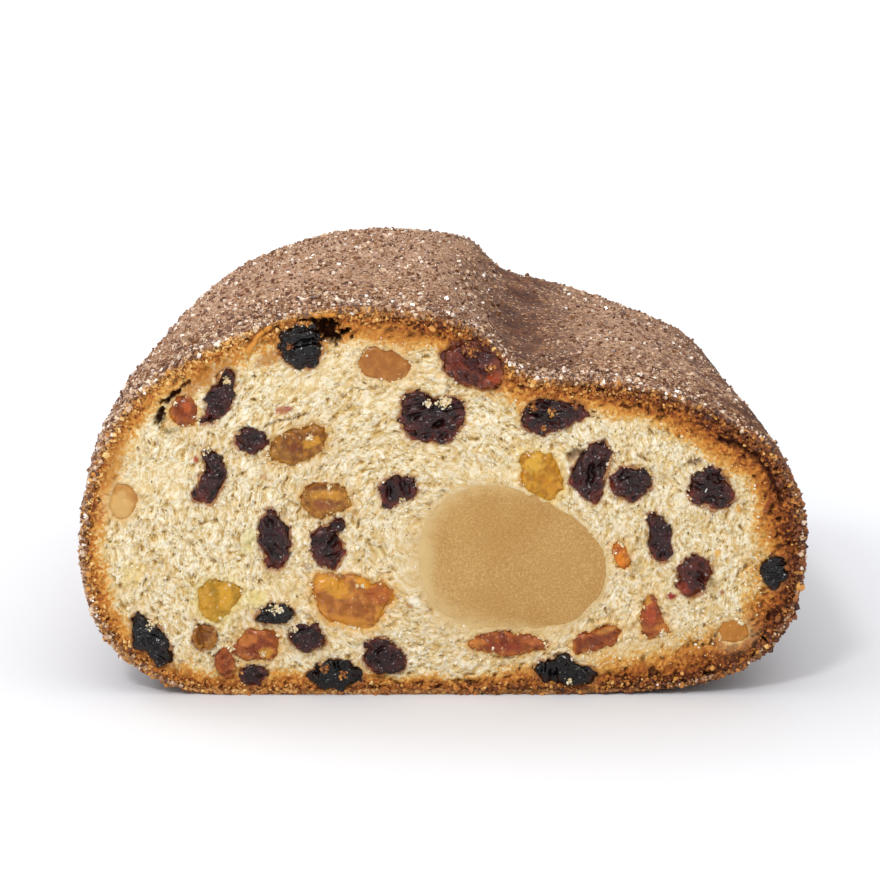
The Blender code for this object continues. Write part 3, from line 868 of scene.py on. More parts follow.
# The pieces that differ from the rest of their kind.
OWN_SKINS = {
    "black": ["raisin_01", "raisin_13", "raisin_16", "raisin_17", "raisin_18", "raisin_25"],
    "maroon": ["raisin_24"], "russet": ["raisin_02"], "amber": ["raisin_10"],
    "rust": ["raisin_11", "sultana_03", "sultana_04", "orange_peel_01", "orange_peel_02",
             "orange_peel_04"],
    "skinned": ["almond_01"], "toasted": ["almond_03"],
}
BY_NAME = {name: skin for skin, names in OWN_SKINS.items() for name in names}

for name, mesh in fruit_meshes.items():
    skin = SKINS[BY_NAME.get(name, BY_KIND[kind_of(name)])]
    register(mesh, name + "_piece", skin, [name])

# %% [markdown]
# ## The cut face
# A knife tears yeast dough rather than slicing it clean: small bubbles lie open, fine
# strands stand between them, and bubbles are drawn out along the folds, round the loaf's
# middle. The crumb is a fine flat grid, trimmed to the outline, with a hole for the rope.
# The edge is then extruded to the far end, so that the crumb is a closed solid inside the
# crust. Its relief comes last: points are moved in and out along the loaf by noise that is
# drawn out round the middle, and pressed back behind each fruit.

# %% Where things lie on the cut
CELL = 0.305 * MM
CRUMB_INSET = CRUST_THICK / 2
UNDER_ROPE = 0.9 * MM

OUTLINE_STEPS = 4000


def search_tree(points):
    """A tree that quickly finds the nearest of many points."""
    tree = kdtree.KDTree(len(points))
    for i, point in enumerate(points):
        tree.insert(point, i)
    tree.balance()
    return tree


outline_turns = np.linspace(0, 2 * math.pi, OUTLINE_STEPS, endpoint=False)
outline_tree = search_tree([out_from(HEART, turn, far, 0, 0)
                            for turn, far in zip(outline_turns, skin_at(outline_turns))])


def from_outline(points):
    """How far inside the loaf's outline each point lies, and the direction of its edge."""
    found = [outline_tree.find((x, 0, z)) for x, _, z in points.tolist()]
    depth = np.array([f[2] for f in found])
    turn = outline_turns[np.array([f[1] for f in found])]
    far, own_turn = polar(points, HEART)
    return np.where(far > skin_at(own_turn), -depth, depth), turn


def fruit_tree():
    """A tree of all the finished fruit for rays, a tree of its outlines on the cut, and the
    name of the piece that each point of those outlines belongs to."""
    bm = bmesh.new()
    for mesh in fruit_meshes.values():
        bm.from_mesh(mesh)
    whole = BVHTree.FromBMesh(bm)
    bm.free()
    ring = [(x, 0, z) for name in FRUIT_NAMES for x, _, z in outlines[name].tolist()]
    return whole, search_tree(ring), [name for name in FRUIT_NAMES for _ in outlines[name]]


fruits, ring_tree, ring_names = fruit_tree()
print(len(ring_names), "points on the outlines of the fruit")

# %% Trim a grid to the cut
low = Vector((CAD_BOX[0][0], 0, 0))
high = Vector((CAD_BOX[1][0], 0, DOUGH_HIGH.z))
cells_across = round((high.x - low.x) / CELL)
cells_up = round((high.z - low.z) / CELL)
bm = bmesh.new()
bmesh.ops.create_grid(
    bm, x_segments=cells_across, y_segments=cells_up, size=0.5,
    matrix=Matrix.Translation(((low.x + high.x) / 2, CUT_Y, (low.z + high.z) / 2))
    @ Matrix.Rotation(math.pi / 2, 4, "X")
    @ Matrix.Diagonal((high.x - low.x, high.z - low.z, 1, 1)))
bm.verts.ensure_lookup_table()
spots = np.array([v.co for v in bm.verts])
edge_depth, _ = from_outline(spots)
keep = (edge_depth > CRUMB_INSET + CELL / 2) & (from_rope(spots) > CELL / 2 - UNDER_ROPE)
bmesh.ops.delete(bm, geom=[v for v, good in zip(bm.verts, keep) if not good],
                 context="VERTS")
stray = [v for v in bm.verts if not v.link_faces]
bmesh.ops.delete(bm, geom=stray, context="VERTS")
print("crumb face:", len(bm.faces), "cells")

# %% [markdown]
# The grid's edge is a staircase, so each edge point slides to the true outline. Then the
# two edges are extruded back in steps: the outer one follows the inside of the crust, and
# the inner one follows the rope. Both are closed at the far end. So that every run gives
# the same loaf, the new points and faces are then numbered by where they lie.

# %% Close the crumb behind
OUTER_STATIONS = [3, 12, 30, 60, 90, 115, 130, 145, 156, 163]
BORE_STATIONS = [1.6, 4, 20, 70, 125, 135, 142, 145.5]
BEHIND_SKIN = CRUST_THICK + 0.6 * MM
BORE_GAP = 0.4 * MM
NEAR_ROPE = 2 * MM


def section_reach(turn, y):
    """How far the dough reaches from its axis across a section at y."""
    side = Vector((math.cos(turn), 0, math.sin(turn)))
    origin = Vector((HEART.x, max(y, CUT_Y + 0.05 * MM), HEART.z))
    hit = dough_tree.ray_cast(origin + side * FAR_OUT, -side)[0]
    return (hit - origin).length if hit else 0.0


def slide_to_edge(vertex):
    """Move a point of the staircase straight out, or in, to the edge that it follows."""
    flat_spot = np.array([vertex.co])
    if from_rope(flat_spot)[0] < 3 * CELL:
        turn = polar(flat_spot, ROPE_HEART)[1][0]
        vertex.co = out_from(ROPE_HEART, turn, rope_edge_at(turn) - UNDER_ROPE, CUT_Y)
    else:
        turn = polar(flat_spot, HEART)[1][0]
        vertex.co = out_from(HEART, turn, skin_at(turn) - CRUMB_INSET, CUT_Y, CRUMB_INSET)


def extrude_back(edges, stations, new_place):
    """Extrude a loop of edges station by station; new_place gives each point's next spot."""
    for back in stations:
        made = bmesh.ops.extrude_edge_only(bm, edges=edges)["geom"]
        edges = [g for g in made if isinstance(g, bmesh.types.BMEdge)]
        for vertex in {v for e in edges for v in e.verts}:
            vertex.co = new_place(vertex.co, CUT_Y + back * MM)
    bmesh.ops.edgeloop_fill(bm, edges=edges)


def inside_crust(spot, y):
    turn = math.atan2(spot.z - HEART.z, spot.x - HEART.x)
    far = max(2 * MM, section_reach(turn, y) - BEHIND_SKIN)
    return out_from(HEART, turn, far, y, BEHIND_SKIN)


def along_rope(spot, y):
    turn = math.atan2(spot.z - ROPE_HEART.z, spot.x - ROPE_HEART.x)
    part = rope_reach(0, min(y, ROPE_HIGH.y - 0.4 * MM)) / rope_reach(0, EVEN_SECTION_Y)
    far = rope_edge_at(turn) * part + LAP_ON_ROPE + BORE_GAP
    return out_from(ROPE_HEART, turn, far, y)


rim = [e for e in bm.edges if e.is_boundary]
for vertex in {v for e in rim for v in e.verts}:
    slide_to_edge(vertex)
by_rope = [from_rope(np.array([e.verts[0].co]))[0] < NEAR_ROPE for e in rim]
extrude_back([e for e, near in zip(rim, by_rope) if not near], OUTER_STATIONS, inside_crust)
extrude_back([e for e, near in zip(rim, by_rope) if near], BORE_STATIONS, along_rope)
bmesh.ops.recalc_face_normals(bm, faces=bm.faces)


def renumber_behind(elements, places):
    """Give the points or faces behind the cut their numbers by place. An extrusion makes them
    in an order that differs from run to run, and grains are later drawn by number."""
    places = np.array(places)
    numbers = np.flatnonzero(places[:, 1] > CUT_Y + 0.01 * MM)
    rank = np.arange(len(places), dtype=float)
    rank[numbers[np.lexsort(places[numbers].T)]] = numbers
    elements.index_update()
    elements.sort(key=lambda item: rank[item.index])


renumber_behind(bm.verts, [v.co[:] for v in bm.verts])
renumber_behind(bm.faces, [f.calc_center_median()[:] for f in bm.faces])
crumb_mesh = mesh_from(bm, "crumb")

# %% [markdown]
# ## Relief of the crumb
# Three fields shape the face: how near the crust a point is, where a fruit or a hollow lies
# under it, and the bubbles. Near the crust the dough is dry and breaks into grains; towards
# the middle it is soft and stringy; next to the marzipan it is dense, with hardly a bubble.

# %% Fields on the cut
# How wide the browned band is, and how dark, by direction round the loaf in degrees.
BAND = [
    (0, 7.6, 0.62), (25, 6.8, 0.52), (45, 6.0, 0.26), (60, 5.8, 0.14), (75, 7.0, 0.46),
    (90, 6.0, 0.42), (110, 7.5, 0.06), (135, 7.5, -0.24), (160, 5.8, -0.04), (180, 5.0, 0.08),
    (205, 5.0, 0.22), (225, 4.6, 0.20), (255, 3.6, 0.40), (285, 3.6, 0.46), (310, 5.4, 0.42),
    (335, 7.6, 0.55),
]
# Dense, smooth patches: (across, up, half width, half height, tilt), in millimetres.
DENSE = [
    (-24, 61, 11, 3.5, 16), (-8, 56.5, 8, 1.8, 8), (13, 12.6, 22, 2.6, -4),
    (-6.5, 26, 3.5, 9, 10), (9, 42.5, 12, 2.6, -8), (-19, 11.5, 10, 2.2, 4),
    (-52, 42, 5, 5, 0), (-29.5, 20.5, 5, 4, 20), (34, 8, 8, 2.4, 20),
]
# Hollows in the crumb: (across, up, half width, half height, tilt, depth), in millimetres.
HOLLOWS = [
    (-21.2, 69.3, 4.2, 2.4, -8, 5.0), (-52.0, 53.4, 1.0, 2.4, -20, 2.6),
    (-49.6, 57.2, 2.2, 0.7, 38, 2.2), (-47.2, 59.4, 1.0, 0.4, 30, 1.6),
    (24.8, 46.2, 2.0, 1.3, 35, 1.1), (46.9, 44.8, 1.9, 0.8, 10, 1.0),
    (49.8, 21.8, 1.0, 2.0, 0, 1.2), (-36.6, 50.9, 1.0, 0.5, 20, 1.4),
    (60.6, 10.6, 0.7, 0.8, 0, 2.4), (-29.0, 27.2, 1.2, 0.7, 30, 1.2),
]
# Lines on the cut: points, half width, rise in millimetres, colour and its strength.
CREASE = [(51.5, 49.0), (55, 47.9), (58.4, 45.8), (60.6, 43.0), (62.0, 40.0), (63.0, 37.4)]
CRUST_FLAP = [(-35.4, 65.8), (-33.4, 68.8), (-30.4, 70.9), (-26.0, 72.1), (-19.6, 72.5)]
SEAM = [(-32.6, 51.6), (-30.0, 52.6), (-27.6, 52.9), (-25.0, 53.9)]
STROKES = [
    (CREASE, 0.6, -1.4, "#4A1E14", 0.85), (CRUST_FLAP, 0.7, 0.6, "#DC9440", 0.95),
    (SEAM, 0.3, -0.7, "#8A6238", 0.5),
]


def band_at(turn):
    """How wide the browned band is, and how dark, in each direction round the loaf."""
    angles, widths, tones = zip(*BAND)
    return (np.interp(np.degrees(turn), angles, widths, period=360) * MM,
            np.interp(np.degrees(turn), angles, tones, period=360))


places = points_of(crumb_mesh)
front = places[:, 1] < CUT_Y + 0.1 * MM
face = places[front]
edge_depth, edge_turn = from_outline(face)
band_width, darkness = band_at(edge_turn)
band_width *= 1 + 0.30 * soft_noise(face, 6 * MM, 3)
bake = 1 - edge_depth / band_width
crusty = ease(bake, -0.1, 0.45)

dense = np.zeros(len(face))
for oval in DENSE:
    dense = np.maximum(dense, ease(oval_fall(face, *oval) + 0.25 * soft_noise(face, 3 * MM),
                                   -0.1, 0.5))
dense = np.maximum(dense, 1 - ease(from_rope(face), 0.2 * MM, 1.6 * MM))
dense *= 1 - crusty

# %% Bubbles and strands
STRAND_MIDDLE = Vector((-4 * MM, 0, 31 * MM))
STRETCH = 1.35
# How far out the crumb's bubbles, fine pores, strands and tears reach, in millimetres.
BUBBLE, FINE_PORE, STRAND, TEAR = 0.80, 0.34, 0.34, 0.22


def drawn_out(points):
    """Coordinates on which noise is drawn out round the loaf's middle: the steps round it
    are shortened, while the distance from it keeps its full size."""
    far, _ = polar(points, STRAND_MIDDLE)
    return np.column_stack([points[:, 0] / STRETCH, far, points[:, 2] / STRETCH])


wander = np.column_stack([soft_noise(face + k, 3.5 * MM) for k in (0, 3, 6)]) * MM
bent = drawn_out(face) + wander
pores = bubbles(bent, 1.35 * MM)
small_pores = bubbles(bent + 1, 0.75 * MM)
strands = np.abs(soft_noise(bent + 2, 0.8 * MM, 3))
tears = soft_noise(bent + 4, 0.55 * MM, 2)
pit = ease(pores[:, 2], 0.55, 0.9) * (1 - ease(pores[:, 0], 0.15, 0.6))
small_pit = ease(small_pores[:, 2], 0.2, 0.7) * (1 - ease(small_pores[:, 0], 0.1, 0.55))
crumb_relief = (STRAND * (1 - 2.4 * strands) + TEAR * tears
                - BUBBLE * pit - FINE_PORE * small_pit)
crust_grain = bubbles(face, 0.8 * MM)
crust_relief = (0.75 * (0.55 - crust_grain[:, 0]) + 0.60 * (crust_grain[:, 2] - 0.5)
                + 0.75 * soft_noise(face + 5, 1.5 * MM, 4)
                - 0.9 * pit
                - 0.8 * ease(soft_noise(face + 7, 2.6 * MM, 3), 0.25, 0.6) * (darkness > 0.3))
calm = (1 - ease(darkness, 0.1, 0.4)) * (1 - ease(bake, 0.25, 0.8))
crust_relief *= 1 - 0.65 * calm
texture = (crumb_relief * (1 - 0.55 * dense)) * (1 - crusty) + crust_relief * crusty
broad = 0.35 * soft_noise(face, 8 * MM, 2) + 0.15 * soft_noise(face, 2.5 * MM)
out = texture + broad
rope_gap = (from_rope(face) + 0.35 * MM * soft_noise(face + 8, 1.5 * MM, 3)) / MM
out *= 0.12 + 0.88 * ease(rope_gap, 0.0, 1.6)
out -= 1.0 * np.clip(-rope_gap, 0, 1.5)
out -= 0.45 * (1 - ease(edge_depth, CRUMB_INSET, CRUMB_INSET + 0.8 * MM))

# %% Hollows and strokes
def from_line(points, line):
    """Distance of each point on the cut from a line of straight steps."""
    spots = points[:, [0, 2]]
    nearest = np.full(len(points), 1.0)
    for start, end in zip(np.array(line) * MM, np.array(line[1:]) * MM):
        step = end - start
        part = np.clip((spots - start) @ step / (step @ step), 0, 1)
        gap = spots - (start + part[:, None] * step)
        nearest = np.minimum(nearest, np.hypot(*gap.T))
    return nearest


# A hollow as deep as this is painted fully dark as painted shade, and its outline wanders by this
# part of its size.
FULL_SHADE_DEPTH = 2.0
HOLLOW_WANDER = 0.75
HOLLOW_TEETH = 0.9 * MM
hollow = np.zeros(len(face))
for *oval, deep in HOLLOWS:
    ragged = HOLLOW_WANDER * soft_noise(face, HOLLOW_TEETH, 3)
    amount = ease(oval_fall(face, *oval) + ragged, 0.0, 0.5)
    out -= deep * amount
    # Painted shade: the deeper the hollow, the darker its paint.
    hollow = np.maximum(hollow, amount * min(1, deep / FULL_SHADE_DEPTH) ** 3)
tint, tint_amount = np.zeros((len(face), 3)), np.zeros(len(face))
for line, half_width, height, code, strength in STROKES:
    gap = from_line(face, line) / MM + 0.22 * soft_noise(face, 1.2 * MM)
    amount = 1 - ease(gap, 0.4 * half_width, 1.2 * half_width)
    out = out * (1 - 0.6 * amount * (height > 0)) + height * amount
    tint = tint * (1 - amount[:, None]) + rgb(code) * amount[:, None]
    tint_amount = np.maximum(tint_amount, strength * amount)

# %% [markdown]
# Behind each fruit the crumb is a bed that just clears the fruit's back, and at its edge
# the crumb slopes down towards it. Syrup soaks out of the fruit, so the crumb beside it is
# stained, and oil from the marzipan leaves a halo round the rope.

# %% Beds for the fruit, and stains round it
# How deep a ray looks for fruit, the gap behind it, the slope towards it, and how far
# inside its outline the bed starts, in millimetres where it has no unit.
BED_REACH = 9 * MM
BED_GAP = 0.12 * MM
BED_SLOPE = 1.5
BED_RIM = 1.3
# kind: colour of the stain in the crumb, how wide it fades, and its strength
STAINS = {
    "raisin": ("#A86C3E", 0.4, 0.6), "sultana": ("#DCAE66", 1.3, 0.75),
    "apricot": ("#E4B264", 1.3, 0.75), "citron": ("#EAC878", 1.5, 0.7),
    "lemon_peel": ("#EAD28A", 1.3, 0.7), "orange_peel": ("#E2B264", 1.5, 0.75),
    "almond": ("#E4C28A", 1.0, 0.7),
}

found = [ring_tree.find((x, 0, z)) for x, _, z in face.tolist()]
ring_gap = np.array([f[2] for f in found]) / MM
kinds = [kind_of(ring_names[f[1]]) for f in found]
covered = np.zeros(len(face), dtype=bool)
behind_fruit = np.zeros(len(face))
for i, (x, _, z) in enumerate(face.tolist()):
    hit = fruits.ray_cast(Vector((x, CUT_Y + BED_REACH, z)), Vector((0, -1, 0)))[0]
    if hit:
        covered[i], behind_fruit[i] = True, hit.y + BED_GAP
bed = covered & (ring_gap > BED_RIM)
at_fruit = 1 - ease(ring_gap, 0.0, 0.9)
lip = 0.15 + 0.85 * soft_noise(face + 12, 1.3 * MM, 3)
out = out * (1 - 0.5 * at_fruit) + at_fruit * lip
y = CUT_Y - np.clip(out, -9, 0.9) * MM + covered * BED_SLOPE * ring_gap * MM
y = np.where(bed, np.maximum(behind_fruit, CUT_Y), y)
face[:, 1] = y
places[front] = face
place_points(crumb_mesh, places)

stain_colour = np.array([rgb(STAINS[k][0]) for k in kinds])
stain_width = np.array([STAINS[k][1] for k in kinds])
stain_amount = np.array([STAINS[k][2] for k in kinds]) * np.exp(-ring_gap / stain_width)
stain_amount *= (0.75 + 0.6 * soft_noise(face + 15, 1.4 * MM)) * (tint_amount < 0.3)
stain_amount = np.where(covered, 0.85, stain_amount)
over = (stain_amount > tint_amount)[:, None]
tint = np.where(over, stain_colour, tint)
tint_amount = np.clip(np.maximum(tint_amount, stain_amount), 0, 1)
_, rope_turn = polar(face, ROPE_HEART)
# How wide the halo fades in millimetres, and how strong it is, by direction in degrees.
HALO_TURNS = [0, 60, 120, 180, 270, 320]
HALO_WIDTHS = [0.8, 0.8, 1.4, 2.6, 3.0, 1.6]
HALO_STRENGTHS = [0.7, 0.6, 0.8, 0.95, 0.95, 0.8]
halo_width, halo_strength = (
    np.interp(np.degrees(rope_turn), HALO_TURNS, values, period=360)
    for values in (HALO_WIDTHS, HALO_STRENGTHS))
halo = halo_strength * np.exp(-np.maximum(rope_gap, 0) / halo_width)
over = (halo > tint_amount)[:, None]
tint = np.where(over, rgb("#D4B279"), tint)
tint_amount = np.maximum(tint_amount, halo)
tint, tint_amount = touched(face, CRUMB_TOUCHES, tint, tint_amount)
crumb_mesh.calc_loop_triangles()
print("relief of the crumb", out.min(), "to", out.max(), "mm, beds", int(bed.sum()),
      "triangles", len(crumb_mesh.loop_triangles))

# %% What the material reads
# name: its values on the cut, and the value for every point behind
FIELDS = {
    "height": (np.clip(0.5 + 0.6 * texture, 0, 1), 0.5), "bake": (bake, 0.8),
    "dark": (darkness, 0.3), "dense": (dense, 0.0), "hollow": (hollow, 0.0),
}
for name, (on_cut, behind) in FIELDS.items():
    everywhere = np.full(len(places), behind)
    everywhere[front] = on_cut
    paint(crumb_mesh, name, everywhere)
drawn = places.copy()
drawn[front] = bent
layer = crumb_mesh.attributes.new("drawn", "FLOAT_VECTOR", "POINT")
layer.data.foreach_set("vector", drawn.astype(np.float32).ravel())
all_tints, all_amounts = np.zeros((len(places), 3)), np.zeros(len(places))
all_tints[front], all_amounts[front] = tint, tint_amount
paint_tint(crumb_mesh, all_tints, all_amounts)

# %% [markdown]
# ## Look of the crumb
# Yeast crumb is matt, and a little light passes through its thin walls. From the fields the
# material picks cream tones by height, darker in the low parts as painted shade in the pores,
# then buttery and dense patches, dark and pale veins along the strands, and a few dark specks.
# Near the crust, granules shift the tone towards gold and brown, with painted shade in their
# low parts. Stains, touches and the painted shade of the hollows are laid over the rest.

# %% Crumb material
crumb_material, tree, shader = new_material(
    "yeast crumb", Roughness=0.8, Specular_IOR_Level=0.25,
    Subsurface_Weight=0.12, Subsurface_Scale=1.0 * MM, Subsurface_Radius=(1.0, 0.7, 0.35))
spot = add(tree, "TexCoord").outputs["Object"]
tones = {name: add(tree, "Attribute", attribute_name=name).outputs["Fac"] for name in FIELDS}
drawn_spot = add(tree, "Attribute", attribute_name="drawn").outputs["Vector"]
speck = add(tree, "TexNoise", {"Vector": drawn_spot, "Scale": per_mm(0.42), "Detail": 3.0,
                               "Roughness": 0.65})
# Painted shade: the tone follows the height, so low parts of the relief, the pores, are darker.
level = add(tree, "MapRange", {0: speck, 1: 0.32, 2: 0.68, 3: -0.38, 4: 0.38})
level = add(tree, "Math", {0: level, 1: tones["height"]})
crumb_tone_and_shade = add(tree, "ValToRGB", {"Fac": level}, [
    (0.0, "#96703A"), (0.22, "#C8A562"), (0.48, "#E5CD98"), (0.72, "#F6E6C0"),
    (0.92, "#FFFCF2")])
patch = add(tree, "TexNoise", {"Vector": spot, "Scale": per_mm(4), "Detail": 3.0})
patch_amount = add(tree, "MapRange", {0: patch, 1: 0.47, 2: 0.68, 4: 0.6})
dense_amount = add(tree, "Math", {0: tones["dense"], 1: 0.35}, operation="MULTIPLY")
vein = add(tree, "TexNoise", {"Vector": drawn_spot, "Scale": per_mm(1.1), "Detail": 2.0})
dark_vein = add(tree, "MapRange", {0: vein, 1: 0.45, 2: 0.33, 4: 0.5})
pale_vein = add(tree, "MapRange", {0: vein, 1: 0.50, 2: 0.60, 4: 0.55})
pepper = add(tree, "TexVoronoi", {"Vector": drawn_spot, "Scale": per_mm(1.0)})
pepper_pick = add(tree, "SeparateColor", {"Color": pepper.outputs["Color"]})
pepper_near = add(tree, "MapRange", {0: pepper, 1: 0.30, 2: 0.14})
pepper_kept = add(tree, "Math", {0: pepper_pick.outputs["Red"], 1: 0.08}, operation="LESS_THAN")
pepper_amount = add(tree, "Math", {0: pepper_near, 1: pepper_kept}, operation="MULTIPLY")

# %% Tones of the browned band
granule = add(tree, "TexVoronoi", {"Vector": spot, "Scale": per_mm(0.5)})
granule_tone = add(tree, "SeparateColor", {"Color": granule.outputs["Color"]})
rough_part = add(tree, "MapRange", {0: tones["bake"], 1: 0.1, 2: 0.9, 3: 0.20, 4: 0.42})
shift = add(tree, "MapRange", {0: granule_tone.outputs["Red"], 3: -1.0, 4: 0.9})
shift = add(tree, "Math", {0: shift, 1: rough_part, 2: tones["bake"]}, operation="MULTIPLY_ADD")
shift = add(tree, "Math", {0: tones["dark"], 1: 0.60, 2: shift}, operation="MULTIPLY_ADD")
crust_level = add(tree, "Math", {0: shift, 1: 0.8}, operation="MULTIPLY")
crust_tone = add(tree, "ValToRGB", {"Fac": crust_level}, [
    (0.0, "#E6C88C"), (0.18, "#E0AC58"), (0.40, "#CC8436"), (0.62, "#A45A24"),
    (0.82, "#6A3214"), (1.0, "#3E1A0C")])
crust_amount = add(tree, "MapRange", {0: shift, 1: -0.12, 2: 0.26})
# Painted shade: in the browned band, low parts of the relief are darkened towards near-black.
pit = add(tree, "MapRange", {0: tones["height"], 1: 0.42, 2: 0.05, 4: 0.75})
pit_shade_amount = add(tree, "Math", {0: pit, 1: crust_amount}, operation="MULTIPLY")

# %% Layers of the crumb
whole = layered(tree, crumb_tone_and_shade, [
    (patch_amount, "#DDBA76"), (dense_amount, "#E9D09C"), (dark_vein, "#CCA45C"),
    (pale_vein, "#FEF5DE"), (pepper_amount, "#80602E"), (crust_amount, crust_tone),
    (pit_shade_amount, "#3A180A"), tint_layer(tree), (tones["hollow"], "#43200F")])
strand = add(tree, "TexNoise", {"Vector": drawn_spot, "Scale": per_mm(0.38), "Detail": 3.0})
finish_surface(tree, shader, whole, strand, 0.30 * MM)

register(crumb_mesh, "crumb", crumb_material, ["dough"])

# %% [markdown]
# ## Scattered grains
# Sugar and crumbs lie on the surface in their thousands. Each kind is one mesh: a
# tiny shape of a few faces, copied with its own turn, size and tone to places drawn at
# random from a surface's triangles. The helper draws the places by area, times a weight
# that says where this kind gathers.

# %% Tools for scattering
def triangles_of(mesh):
    mesh.calc_loop_triangles()
    index = np.empty(len(mesh.loop_triangles) * 3, dtype=np.int32)
    mesh.loop_triangles.foreach_get("vertices", index)
    return index.reshape(-1, 3)


def random_places(mesh, count, weight):
    """Points and normals drawn from the mesh; weight maps points and normals to 0 or more."""
    corners = triangles_of(mesh)
    points, normals = points_of(mesh), normals_of(mesh)
    a, b, c = (points[corners[:, k]] for k in range(3))
    area = 0.5 * np.linalg.norm(np.cross(b - a, c - a), axis=1)
    middles, facing = (a + b + c) / 3, normals[corners].mean(axis=1)
    share = area * np.maximum(0, weight(middles, facing))
    chosen = chance.choice(len(corners), size=count, p=share / share.sum())
    u, v = chance.random(count), chance.random(count)
    fold = u + v > 1
    u[fold], v[fold] = 1 - u[fold], 1 - v[fold]
    spots = a[chosen] + u[:, None] * (b - a)[chosen] + v[:, None] * (c - a)[chosen]
    return spots, facing[chosen]


def small_shape(kind):
    """A grain of a few faces: a block for sugar, a crystal for fine sugar, or a lump."""
    bm = bmesh.new()
    if kind == "block":
        bmesh.ops.create_cube(bm, size=1.0)
    elif kind == "crystal":
        bmesh.ops.create_uvsphere(bm, u_segments=4, v_segments=2, radius=0.6)
    else:
        bmesh.ops.create_icosphere(bm, subdivisions=1, radius=0.5)
    bmesh.ops.triangulate(bm, faces=bm.faces)
    mesh = mesh_from(bm, kind)
    return points_of(mesh), triangles_of(mesh)


def random_turns(count):
    """Rotation matrices spread evenly over all directions."""
    w, x, y, z = (q := chance.normal(size=(count, 4))).T / np.linalg.norm(q, axis=1)
    return np.array([
        [1 - 2 * (y * y + z * z), 2 * (x * y - z * w), 2 * (x * z + y * w)],
        [2 * (x * y + z * w), 1 - 2 * (x * x + z * z), 2 * (y * z - x * w)],
        [2 * (x * z - y * w), 2 * (y * z + x * w), 1 - 2 * (x * x + y * y)],
    ]).transpose(2, 0, 1)


def scatter(name, kind, spots, facing, sizes, proud, material, rough=0.0, tones=None):
    """One mesh of many grains; proud is how far out a grain's middle lies, in its sizes."""
    shape, faces = small_shape(kind)
    count = len(spots)
    scale = sizes[:, None] * chance.uniform(0.6, 1.35, (count, 3))
    body = shape[None, :, :] * scale[:, None, :]
    body *= 1 + rough * chance.uniform(-1, 1, (count, len(shape), 1))
    turned = np.einsum("nij,nvj->nvi", random_turns(count), body)
    points = turned + (spots + facing * (sizes * proud)[:, None])[:, None, :]
    points[:, :, 2] = np.maximum(points[:, :, 2], 0)
    all_faces = faces[None, :, :] + (np.arange(count) * len(shape))[:, None, None]
    mesh = bpy.data.meshes.new(name)
    mesh.from_pydata(points.reshape(-1, 3).tolist(), [], all_faces.reshape(-1, 3).tolist())
    tones = chance.random(count) if tones is None else tones
    paint(mesh, "tone", np.repeat(tones, len(shape)))
    register(mesh, name, material)
    mesh.shade_flat()


def grain_material(name, stops, **surface):
    """Grains whose colour comes from each grain's own tone."""
    material, tree, shader = new_material(name, **surface)
    tone = add(tree, "Attribute", attribute_name="tone")
    ramp = add(tree, "ValToRGB", {"Fac": tone.outputs["Fac"]}, stops)
    tree.links.new(live_output(ramp), shader.inputs["Base Color"])
    return material

# %% Sugar on the crust
# Crystal sugar has smooth faces and bends light strongly, so single grains flash.
sugar_material = grain_material(
    "crystal sugar", [(0.0, "#5A321C"), (0.3, "#85552F"), (0.6, "#B48A66"), (0.85, "#E2C4A4"),
                      (1.0, "#FFF8EE")],
    Roughness=0.12, IOR=1.54)


def sugared(points, directions, near_cut):
    # Fewer grains fall where the painted shade of the fold and the right flank lies.
    cover = sugar_cover_and_shade(points, directions)
    behind = points[:, 1] - CUT_Y
    closeness = 1 - ease(behind, 4 * MM, near_cut)
    left_rim = (1 - ease(behind, 1 * MM, 5 * MM)) * (1 - ease(points[:, 0], -45 * MM, -20 * MM))
    return cover * (0.2 + closeness + 2 * left_rim) * (points[:, 2] > 1.5 * MM)


# name, shape, how many, size in millimetres, and how far behind the cut the kind reaches
SUGARS = [
    ("coarse_sugar", "block", 13000, 0.56, 24 * MM),
    ("fine_sugar", "crystal", 22000, 0.38, 35 * MM),
    ("far_sugar", "crystal", 20000, 0.42, 400 * MM),
]
for name, kind, count, size, near_cut in SUGARS:
    spots, facing = random_places(
        crust_mesh, count, lambda p, d, near=near_cut: sugared(p, d, near))
    sizes = size * MM * chance.uniform(0.6, 1.25, count)
    tones = chance.random(count) ** 1.3
    if name == "far_sugar":
        tones = 0.52 + 0.3 * tones
    scatter(name, kind, spots, facing, sizes, 0.25, sugar_material, 0.0, tones)

# %% Crumbs of crust along the cut
crust_crumb_material = grain_material(
    "golden crust crumbs", [(0.0, "#3E1A0C"), (0.25, "#7A3E1A"), (0.5, "#B4702E"),
                            (0.75, "#D89A48"), (1.0, "#EFC880")], Roughness=0.6)


def rim_crumbs(points, directions):
    """Crumbs gather on the browned band of the cut and on the crust just behind it."""
    inside, _ = from_outline(points)
    near_edge = 1 - ease(np.abs(inside), 0.5 * MM, 3.0 * MM)
    clear = ease(from_line(points, CRUST_FLAP), 0.8 * MM, 1.4 * MM)
    return near_edge * clear * (1 - ease(points[:, 1] - CUT_Y, 0.2 * MM, 2.2 * MM)) + 1e-6


def baked_tones(spots):
    """Tones that follow the band: golden inside, brown at the edge and on the right."""
    inside, turn = from_outline(spots)
    _, dark = band_at(turn)
    depth = ease(inside, -0.5 * MM, 4 * MM)
    return np.clip(0.66 - 0.75 * dark + 0.25 * depth + chance.normal(0, 0.22, len(spots)), 0, 1)


for name, mesh, count in (("rim_crumbs", crust_mesh, 4200), ("band_crumbs", crumb_mesh, 5600)):
    spots, facing = random_places(mesh, count, rim_crumbs)
    sizes = MM * np.clip(chance.lognormal(-0.95, 0.42, count), 0.15, 1.1)
    sizes *= 1 + 0.2 * ease(spots[:, 0], 35 * MM, 65 * MM)
    scatter(name, "lump", spots, facing, sizes, 0.1, crust_crumb_material, 0.5,
            baked_tones(spots))

